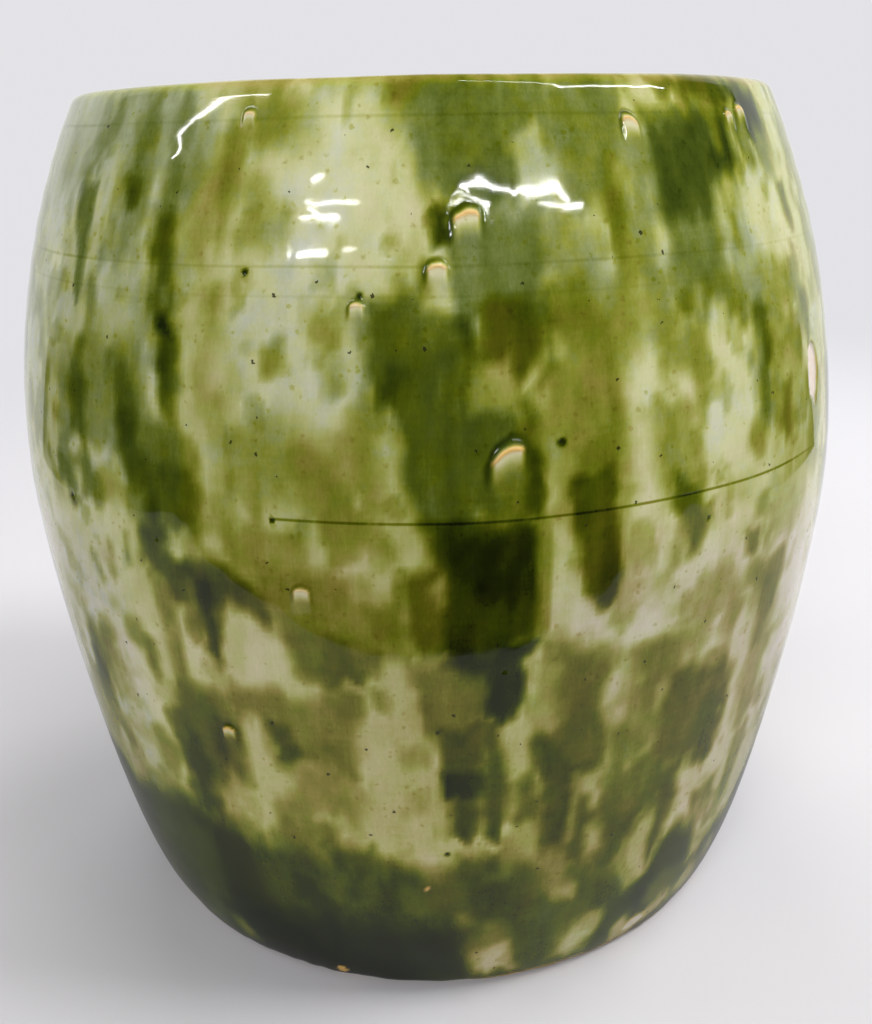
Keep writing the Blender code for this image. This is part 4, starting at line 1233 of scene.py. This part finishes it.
def bare_clay(colours):
    """Matt clay in patches, with painted shade darkening it round the foot, and worn where it stands."""
    made, tree = material("bare fired clay")
    place, marks = wheel_marks(tree, CLAY_SPECK_SIZE)
    height = separate(tree, place)["Z"]
    patches = noise(tree, place, 45.0, 4.0, 0.6)
    tone = blend(tree, ranged(tree, patches, 0.35, 0.7), (*colours.biscuit, 1), (0.50, 0.34, 0.22, 1))
    away = vector_length(tree, stretched(tree, place, (1, 1, 0)))
    # Painted shade: the outer face of the foot darkens to a deep brown near the table, in patches
    outer = ranged(tree, away, 0.0962, 0.0985)
    low = ranged(tree, height, 0.012, 0.002)
    foot_shade_mask = calc(tree, "MULTIPLY", calc(tree, "MULTIPLY", outer, low), ranged(tree, patches, 0.25, 0.5))
    tone = blend(tree, calc(tree, "MULTIPLY", foot_shade_mask, 0.85), tone, (*colours.foot_shade_colour, 1))
    worn = ranged(tree, noise(tree, place, 160.0, 3.0), 0.5, 0.62)
    contact = calc(tree, "MULTIPLY", ranged(tree, height, 0.0008, 0.0001), worn)
    tone = blend(tree, calc(tree, "MULTIPLY", contact, 0.4), tone, (0.16, 0.11, 0.08, 1))
    tone = blend(tree, calc(tree, "MULTIPLY", marks["Specks"], 0.6), tone, (0.12, 0.06, 0.03, 1))
    rough = calc(tree, "MULTIPLY_ADD", marks["Cloud"], 0.1, 0.85)
    rings = calc(tree, "SINE", calc(tree, "MULTIPLY", away, 1900.0))
    bumps = calc(tree, "MULTIPLY", rings, 0.00004)
    bumps = calc(tree, "MULTIPLY_ADD", marks["Cloud"], 0.00022, bumps)
    bumps = calc(tree, "MULTIPLY_ADD", noise(tree, place, 1500.0), 0.00008, bumps)
    finish_with(tree, tone, rough, bumps)
    return made


# Pieces


def settle(piece, node):
    """Fixes a finished piece to the body, in the place of its node."""
    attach(piece, "root")
    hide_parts(node)


def tidy_axis(mesh):
    """Takes away the edge that a closed outline leaves on the axis, and checks that faces point out."""
    work = bmesh.new()
    work.from_mesh(mesh)
    bmesh.ops.delete(work, geom=[e for e in work.edges if not e.link_faces], context="EDGES")
    if work.calc_volume(signed=True) < 0:
        raise RuntimeError(f"{mesh.name} is inside out")
    work.to_mesh(mesh)
    work.free()


def inside_line(shape, depth, wall_count, floor_count):
    """Points down one inner face, from the lip's end of the wall, round the corner, to the axis."""
    wall, corner = INNER_BACK + shape.coat, shape.inner_corner
    floor_top = FLOOR_BACK + shape.coat
    rows = wall_rows(shape, floor_top + corner, wall_count, wall + corner)
    reach = wall + corner - depth
    down = (rows[:, :2] + rows[:, 2:] * reach)[::-1]
    centre = rows[0, :2]
    bend = arc(centre, reach, math.atan2(rows[0, 3], rows[0, 2]), -math.pi / 2, 9)[1:]
    floor = np.linspace(bend[-1], (0.0, bend[-1][1]), floor_count)[1:]
    return np.vstack((down, bend, floor))


class JAR_OT_clay_pot(bpy.types.Operator):
    """Turn the clay pot: foot ring, recessed base, wall and lip"""

    bl_idname = "jar.clay_pot"
    bl_label = "Clay pot"

    def execute(self, context):
        shape, colours = context.scene.jar_shape, context.scene.jar_colours
        inside = INNER_BACK - (CLAY_DEPTH - shape.coat)
        ring_outer = shape.foot_radius - FOOT_BEVEL
        ring_inner = ring_outer - shape.foot_ring
        ring_end = ring_outer - RING_INSET
        soft = np.array((ring_inner, 0.0)) + RING_INNER_EDGE
        base = np.linspace((0.0, shape.foot_recess), (ring_inner - RECESS_RUN, shape.foot_recess), 16)
        slope = np.linspace(base[-1], soft[0], 5)[1:]
        ring = np.linspace(soft[1], (ring_end, 0.0), 7)
        edge = arc((ring_end, RING_ROUNDING), RING_ROUNDING, -math.pi / 2, -0.35, 5)[1:]
        outside = wall_rows(shape, COAT_START, 90, CLAY_DEPTH)[:, :2]
        centre = lip_centre(shape)
        lean = wall_lean(shape)[1]
        lip = arc(centre, (inside - CLAY_DEPTH) / 2, lean, lean + math.pi, 14)[1:-1]
        down = inside_line(shape, inside, 40, 10)
        outline = np.vstack((base, slope, ring, edge, outside, lip, down))
        skin, finish = np.ones(len(outline)), bare_clay(colours)
        piece = turned_shell("clay_pot", outline, skin, CLAY_SEGMENTS, 0.0, finish)
        tidy_axis(piece.data)
        points, azimuth, z = places(piece.data)
        away = np.hypot(points[:, 0], points[:, 1])
        low = smooth((6 - z) / 4) * smooth((away - 0.094) / 0.003)
        dents = np.minimum(Mottle(31, 7, 50)(along_belly(azimuth), z) + 0.2, 0)
        points[:, :2] *= (1 + low * dents * 0.0004 / np.maximum(away, 0.01))[:, None]
        move(piece.data, out_of_round(points, azimuth, z))
        settle(piece, "clay_body")
        return {"FINISHED"}


class JAR_OT_outer_glaze(bpy.types.Operator):
    """Turn the outer coat of glaze and give it its runs, blisters and colours"""

    bl_idname = "jar.outer_glaze"
    bl_label = "Outer glaze"

    def execute(self, context):
        shape, colours = context.scene.jar_shape, context.scene.jar_colours
        wall = INNER_BACK + shape.coat
        centre = lip_centre(shape)
        lean = wall_lean(shape)[1]
        front = wall_rows(shape, COAT_START, 176)[:, :2]
        lip = arc(centre, wall / 2, lean, SEAM_ANGLE, 13)[1:]
        rounded = front[0] - np.array(COAT_ROUNDING)
        back = wall_rows(shape, COAT_BACK_START, 14, shape.coat)[:, :2]
        under = arc(centre, wall / 2 - shape.coat, lean, SEAM_ANGLE, 7)[1:]
        behind = np.vstack((back, under))[::-1]
        outline = np.vstack((rounded, front, lip, behind))
        skin = np.concatenate(((0.2, 0.6), np.ones(len(front) + len(lip)), np.zeros(len(behind))))
        skin[-len(behind) - 1] = 0.3
        finish = mottled_glaze(colours)
        piece = turned_shell("outer_coat", outline, skin, shape.segments, FRONT_CLOSENESS, finish)
        tidy_axis(piece.data)
        refine(piece.data)
        dress_outer(piece.data, shape.relief)
        settle(piece, "outer_glaze")
        return {"FINISHED"}


class JAR_OT_inner_glaze(bpy.types.Operator):
    """Turn the inner coat of glaze, from the seam inside the lip to the floor"""

    bl_idname = "jar.inner_glaze"
    bl_label = "Inner glaze"

    def execute(self, context):
        shape = context.scene.jar_shape
        wall = INNER_BACK + shape.coat
        centre = lip_centre(shape)
        end = wall_lean(shape)[1] + math.pi
        under = wall / 2 - shape.coat
        seam = SEAM_ANGLE + (CLAY_DEPTH - shape.coat) / under
        face = np.vstack((arc(centre, wall / 2, seam, end, 7)[:-1], inside_line(shape, wall, 120, 30)))
        back = np.vstack((arc(centre, under, seam, end, 5)[:-1], inside_line(shape, INNER_BACK, 16, 6)))
        outline = np.vstack((face, back[::-1]))
        skin = np.concatenate((np.ones(len(face)), np.zeros(len(back))))
        piece = turned_shell("inner_coat", outline, skin, INNER_SEGMENTS, 0.0, pale_glaze())
        tidy_axis(piece.data)
        points, azimuth, z = places(piece.data)
        x = along_belly(azimuth)
        away = np.hypot(points[:, 0], points[:, 1])
        wavy = 0.16 * np.sin(z * 2 * math.pi / 9 + Mottle(32, 60, 40)(x, z))
        wavy += 0.12 * Mottle(33, 30, 26)(x, z)
        wavy *= smooth((away - 0.06) / 0.02) * smooth((238 - z) / 6)
        points += normals_of(piece.data) * (skin_of(piece.data) * wavy * shape.relief * MM)[:, None]
        move(piece.data, out_of_round(points, azimuth, z))
        settle(piece, "inner_glaze")
        return {"FINISHED"}


def refine(mesh):
    """More faces at each blister, pit and chip, by its azimuth, height and reach in mm."""
    work = bmesh.new()
    work.from_mesh(mesh)
    skin = work.verts.layers.float["skin"]
    wall_radius = 120
    spots = [(b[0], b[1] - b[2] * 0.4, b[2] * 2.2) for b in BLISTERS]
    spots += [(p[0], p[1], p[2] * 2.4) for p in PITS] + [(CHIP[0], CHIP[1], 10)]
    chosen = []
    for degrees, height, reach in spots:
        azimuth = math.radians(degrees)
        for edge in work.edges:
            middle = (edge.verts[0].co + edge.verts[1].co) / 2
            if abs(middle.z - height * MM) > reach * MM:
                continue
            turn = math.atan2(middle.x, -middle.y) - azimuth
            turn = (turn + math.pi) % (2 * math.pi) - math.pi
            if abs(turn) * wall_radius > reach:
                continue
            if edge.verts[0][skin] > 0.99 and edge.verts[1][skin] > 0.99:
                chosen.append(edge)
    bmesh.ops.subdivide_edges(work, edges=list(set(chosen)), cuts=2, use_grid_fill=True)
    work.to_mesh(mesh)
    work.free()


# Stage

# Lamp reflections: azimuth and elevation of both ends, width in metres
GLINTS = (
    ((-87, 31), (-84, 37), 0.012), ((-84, 37), (-80, 41), 0.014), ((-80, 41), (-61, 49), 0.012),
    ((-37, 39.6), (-33.5, 41), 0.016), ((-37.4, 36.4), (-34, 35.9), 0.010),
    ((-34, 35.9), (-29, 37), 0.012), ((-29, 37), (-20.7, 37.8), 0.010),
    ((-36.2, 35), (-31.8, 33.6), 0.012), ((-37.8, 32.2), (-31.8, 33.6), 0.012),
    ((-31.8, 33.2), (-26.3, 33.9), 0.020), ((-37.3, 27.4), (-29, 28.7), 0.028),
    ((-23.5, 29.2), (-19.5, 29.6), 0.006), ((-40.2, 28.3), (-40, 26.5), 0.010),
    ((10.5, 37.6), (16.5, 36.9), 0.009), ((16.5, 36.9), (20.5, 35.2), 0.014),
    ((14.4, 38.5), (13.2, 40), 0.030), ((13.2, 40), (18.1, 40.7), 0.018),
    ((18.1, 40.7), (23.6, 39.2), 0.020), ((23.6, 39.2), (29.9, 36.9), 0.020),
    ((29.9, 36.9), (34.1, 37.6), 0.016), ((34.1, 37.6), (41.6, 36.7), 0.018),
    ((41.6, 36.7), (44.5, 34), 0.020), ((36, 35.4), (43, 33.4), 0.012), ((43, 33.2), (48.8, 31.6), 0.028),
    ((50, 80), (57, 51), 0.012), ((57, 51), (91, 37), 0.012),
)
GLINT_DISTANCE = 1.5
GLINT_RADIANCE = 55  # in watts a square metre a steradian

# Soft lamps: name, azimuth, elevation, height and width, watts
SOFT_LAMPS = (
    ("key", 80, 46, (0.8, 0.8), 42.0), ("right back", 130, 18, (0.6, 1.2), 34.0),
    ("front", -14, 33, (0.8, 1.6), 35.5), ("back", -165, 54, (0.8, 1.4), 17.0),
    ("above", 60, 74, (0.8, 0.8), 13.0), ("left", -92, 38, (0.8, 0.8), 8.0),
)
LAMP_DISTANCE = 2.6

# The camera: its place, its pitch, yaw and roll in degrees, and its lens in mm
CAMERA_PLACE = (0, -0.3327, 0.2304)
CAMERA_TURN = (20.07, 0.258, -1.194)
CAMERA_LENS = 36.13

# Half the floor's width, and how far it lies under the jar, so that the two never touch
FLOOR_HALF = 6
FLOOR_DROP = 0.0002
WHITE = (1, 1, 1, 1)


def around_axis(tree, parts):
    """The azimuth of a direction, without its sign."""
    turn = calc(tree, "ARCTAN2", parts["X"], calc(tree, "MULTIPLY", parts["Y"], -1.0))
    return calc(tree, "ABSOLUTE", turn)


def backdrop_floor(colours):
    """Lit floor that fades to the plain backdrop; the glaze mirrors it only near the jar and behind."""
    made, tree = material("plain pale floor")
    place = tree.nodes.new("ShaderNodeTexCoord").outputs["Object"]
    parts = separate(tree, place)
    half_width, front_end, ahead_end = 0.56, -0.272, math.radians(121)
    lit = add(tree, "ShaderNodeBsdfDiffuse", {"Color": (0.58, 0.57, 0.59, 1)}).outputs[0]
    plain = add(tree, "ShaderNodeEmission", {"Color": (*colours.backdrop, 1)}).outputs[0]
    far = ranged(tree, vector_length(tree, place), 0.38, 1.1)
    surface = add(tree, "ShaderNodeMixShader", {0: far, 1: lit, 2: plain}).outputs[0]
    side = calc(tree, "GREATER_THAN", calc(tree, "ABSOLUTE", parts["X"]), half_width)
    front = calc(tree, "LESS_THAN", parts["Y"], front_end)
    around = around_axis(tree, parts)
    ahead = calc(tree, "LESS_THAN", around, ahead_end)
    off = calc(tree, "MULTIPLY", calc(tree, "MAXIMUM", side, front), ahead)
    path = tree.nodes.new("ShaderNodeLightPath").outputs
    hidden = calc(tree, "MULTIPLY", off, calc(tree, "SUBTRACT", 1.0, path["Is Camera Ray"]))
    dim = ranged(tree, around, ahead_end, math.radians(95), 0.0, 0.52)
    hidden = calc(tree, "MAXIMUM", hidden, calc(tree, "MULTIPLY", dim, path["Is Glossy Ray"]))
    dark = add(tree, "ShaderNodeEmission", {"Color": (0.02, 0.02, 0.02, 1)}).outputs[0]
    mixed = add(tree, "ShaderNodeMixShader", {0: hidden, 1: surface, 2: dark}).outputs[0]
    add(tree, "ShaderNodeOutputMaterial", {"Surface": mixed})
    return made


def studio_world(scene, colours):
    """Plain backdrop for the camera, soft light from above, and a pale wall behind for the glaze."""
    world = bpy.data.worlds.new("studio")
    world.use_nodes = True
    tree = world.node_tree
    tree.nodes.clear()
    scene.world = world
    parts = separate(tree, tree.nodes.new("ShaderNodeTexCoord").outputs["Generated"])
    path = tree.nodes.new("ShaderNodeLightPath").outputs
    behind = ranged(tree, around_axis(tree, parts), math.radians(117), math.radians(123))
    low = ranged(tree, parts["Z"], 0.75, 0.45)
    mirror = calc(tree, "MULTIPLY_ADD", calc(tree, "MULTIPLY", behind, low), 0.80, 0.025)
    above = ranged(tree, parts["Z"], 0.1, 0.9, 0.09, 0.36)
    seen = add(tree, "ShaderNodeBackground", {"Color": (*colours.backdrop, 1)}).outputs[0]
    soft = add(tree, "ShaderNodeBackground", {"Color": WHITE, "Strength": above}).outputs[0]
    shine = add(tree, "ShaderNodeBackground", {"Color": WHITE, "Strength": mirror}).outputs[0]
    first = add(tree, "ShaderNodeMixShader", {0: path["Is Glossy Ray"], 1: soft, 2: shine}).outputs[0]
    whole = add(tree, "ShaderNodeMixShader", {0: path["Is Camera Ray"], 1: first, 2: seen}).outputs[0]
    add(tree, "ShaderNodeOutputWorld", {"Surface": whole})


def facing(place, target, along):
    """Rotation that points -Z at a target with X along a direction."""
    back = (Vector(place) - Vector(target)).normalized()
    side = (Vector(along) - back * Vector(along).dot(back)).normalized()
    return Matrix((side, back.cross(side), back)).transposed().to_4x4()


def panel_light(name, place, target, along, size, watts):
    """A rectangular lamp at a place that faces a target, with its long side along a direction."""
    light = bpy.data.lights.new(name, "AREA")
    light.shape = "RECTANGLE"
    light.size, light.size_y = size
    light.energy = watts
    lamp = bpy.data.objects.new(name, light)
    lamp.matrix_world = Matrix.Translation(place) @ facing(place, target, along)
    bpy.context.scene.collection.objects.link(lamp)
    return lamp


def direction(azimuth, elevation):
    """The direction out from the jar, from degrees."""
    a, e = math.radians(azimuth), math.radians(elevation)
    return Vector((math.sin(a) * math.cos(e), -math.cos(a) * math.cos(e), math.sin(e)))


def add_floor(scene, colours):
    half = FLOOR_HALF
    mesh = bpy.data.meshes.new("floor")
    corners = [(-half, -half, 0), (half, -half, 0), (half, half, 0), (-half, half, 0)]
    mesh.from_pydata(corners, [], [(0, 1, 2, 3)])
    mesh.materials.append(backdrop_floor(colours))
    mesh.transform(Matrix.Translation((0, 0, -FLOOR_DROP)))
    floor = bpy.data.objects.new("floor", mesh)
    scene.collection.objects.link(floor)


def add_lamps():
    """Soft lamps that light the jar, and narrow ones that only its gloss shows."""
    middle = Vector((0, 0, 0.13))
    for name, azimuth, elevation, size, watts in SOFT_LAMPS:
        spot = middle + direction(azimuth, elevation) * LAMP_DISTANCE
        lamp = panel_light(name, spot, middle, Vector((0, 0, 1)), size, watts)
        lamp.visible_glossy = False
    aim = Vector((0, -0.08, 0.2))
    for number, (start, end, wide) in enumerate(GLINTS):
        first, last = (aim + direction(*d) * GLINT_DISTANCE for d in (start, end))
        run = last - first
        size = (run.length * 1.04, wide)
        watts = GLINT_RADIANCE * size[0] * size[1] * math.pi
        lamp = panel_light(f"glint {number}", (first + last) / 2, aim, run, size, watts)
        lamp.visible_diffuse = False


def add_camera(scene):
    scene.camera = bpy.data.objects.new("camera", bpy.data.cameras.new("camera"))
    scene.collection.objects.link(scene.camera)
    scene.camera.data.lens = CAMERA_LENS
    scene.camera.data.clip_start = 0.01
    pitch, yaw, roll = (math.radians(a) for a in CAMERA_TURN)
    ahead = Vector((math.sin(yaw) * math.cos(pitch), math.cos(yaw) * math.cos(pitch), -math.sin(pitch)))
    across = ahead.cross(Vector((0, 0, 1))).normalized()
    upward = across.cross(ahead)
    right = across * math.cos(roll) + upward * math.sin(roll)
    up = upward * math.cos(roll) - across * math.sin(roll)
    turned = Matrix((right, up, -ahead)).transposed().to_4x4()
    scene.camera.matrix_world = Matrix.Translation(CAMERA_PLACE) @ turned


class JAR_OT_stage(bpy.types.Operator):
    """Set the floor, the light and the camera"""

    bl_idname = "jar.stage"
    bl_label = "Stage"

    def execute(self, context):
        scene, colours = context.scene, context.scene.jar_colours
        add_floor(scene, colours)
        studio_world(scene, colours)
        add_lamps()
        add_camera(scene)
        scene.view_settings.view_transform = "Standard"
        return {"FINISHED"}


class VIEW3D_PT_jar(bpy.types.Panel):
    """The jar's sizes, colours and steps"""

    bl_label = "Storage jar"
    bl_space_type = "VIEW_3D"
    bl_region_type = "UI"
    bl_category = "Jar"

    def draw(self, context):
        for group in (context.scene.jar_shape, context.scene.jar_colours):
            box = self.layout.box()
            for name in type(group).__annotations__:
                box.prop(group, name)
        for step in STEPS:
            self.layout.operator(step.bl_idname)


STEPS = (JAR_OT_clay_pot, JAR_OT_outer_glaze, JAR_OT_inner_glaze, JAR_OT_stage)
CLASSES = (JarShape, JarColours, *STEPS, VIEW3D_PT_jar)


def register():
    for made in CLASSES:
        bpy.utils.register_class(made)
    bpy.types.Scene.jar_shape = PointerProperty(type=JarShape)
    bpy.types.Scene.jar_colours = PointerProperty(type=JarColours)


def unregister():
    del bpy.types.Scene.jar_colours
    del bpy.types.Scene.jar_shape
    for made in reversed(CLASSES):
        bpy.utils.unregister_class(made)


def main():
    register()
    bpy.ops.jar.clay_pot()
    bpy.ops.jar.outer_glaze()
    bpy.ops.jar.inner_glaze()
    bpy.ops.jar.stage()


if __name__ == "__main__":
    main()
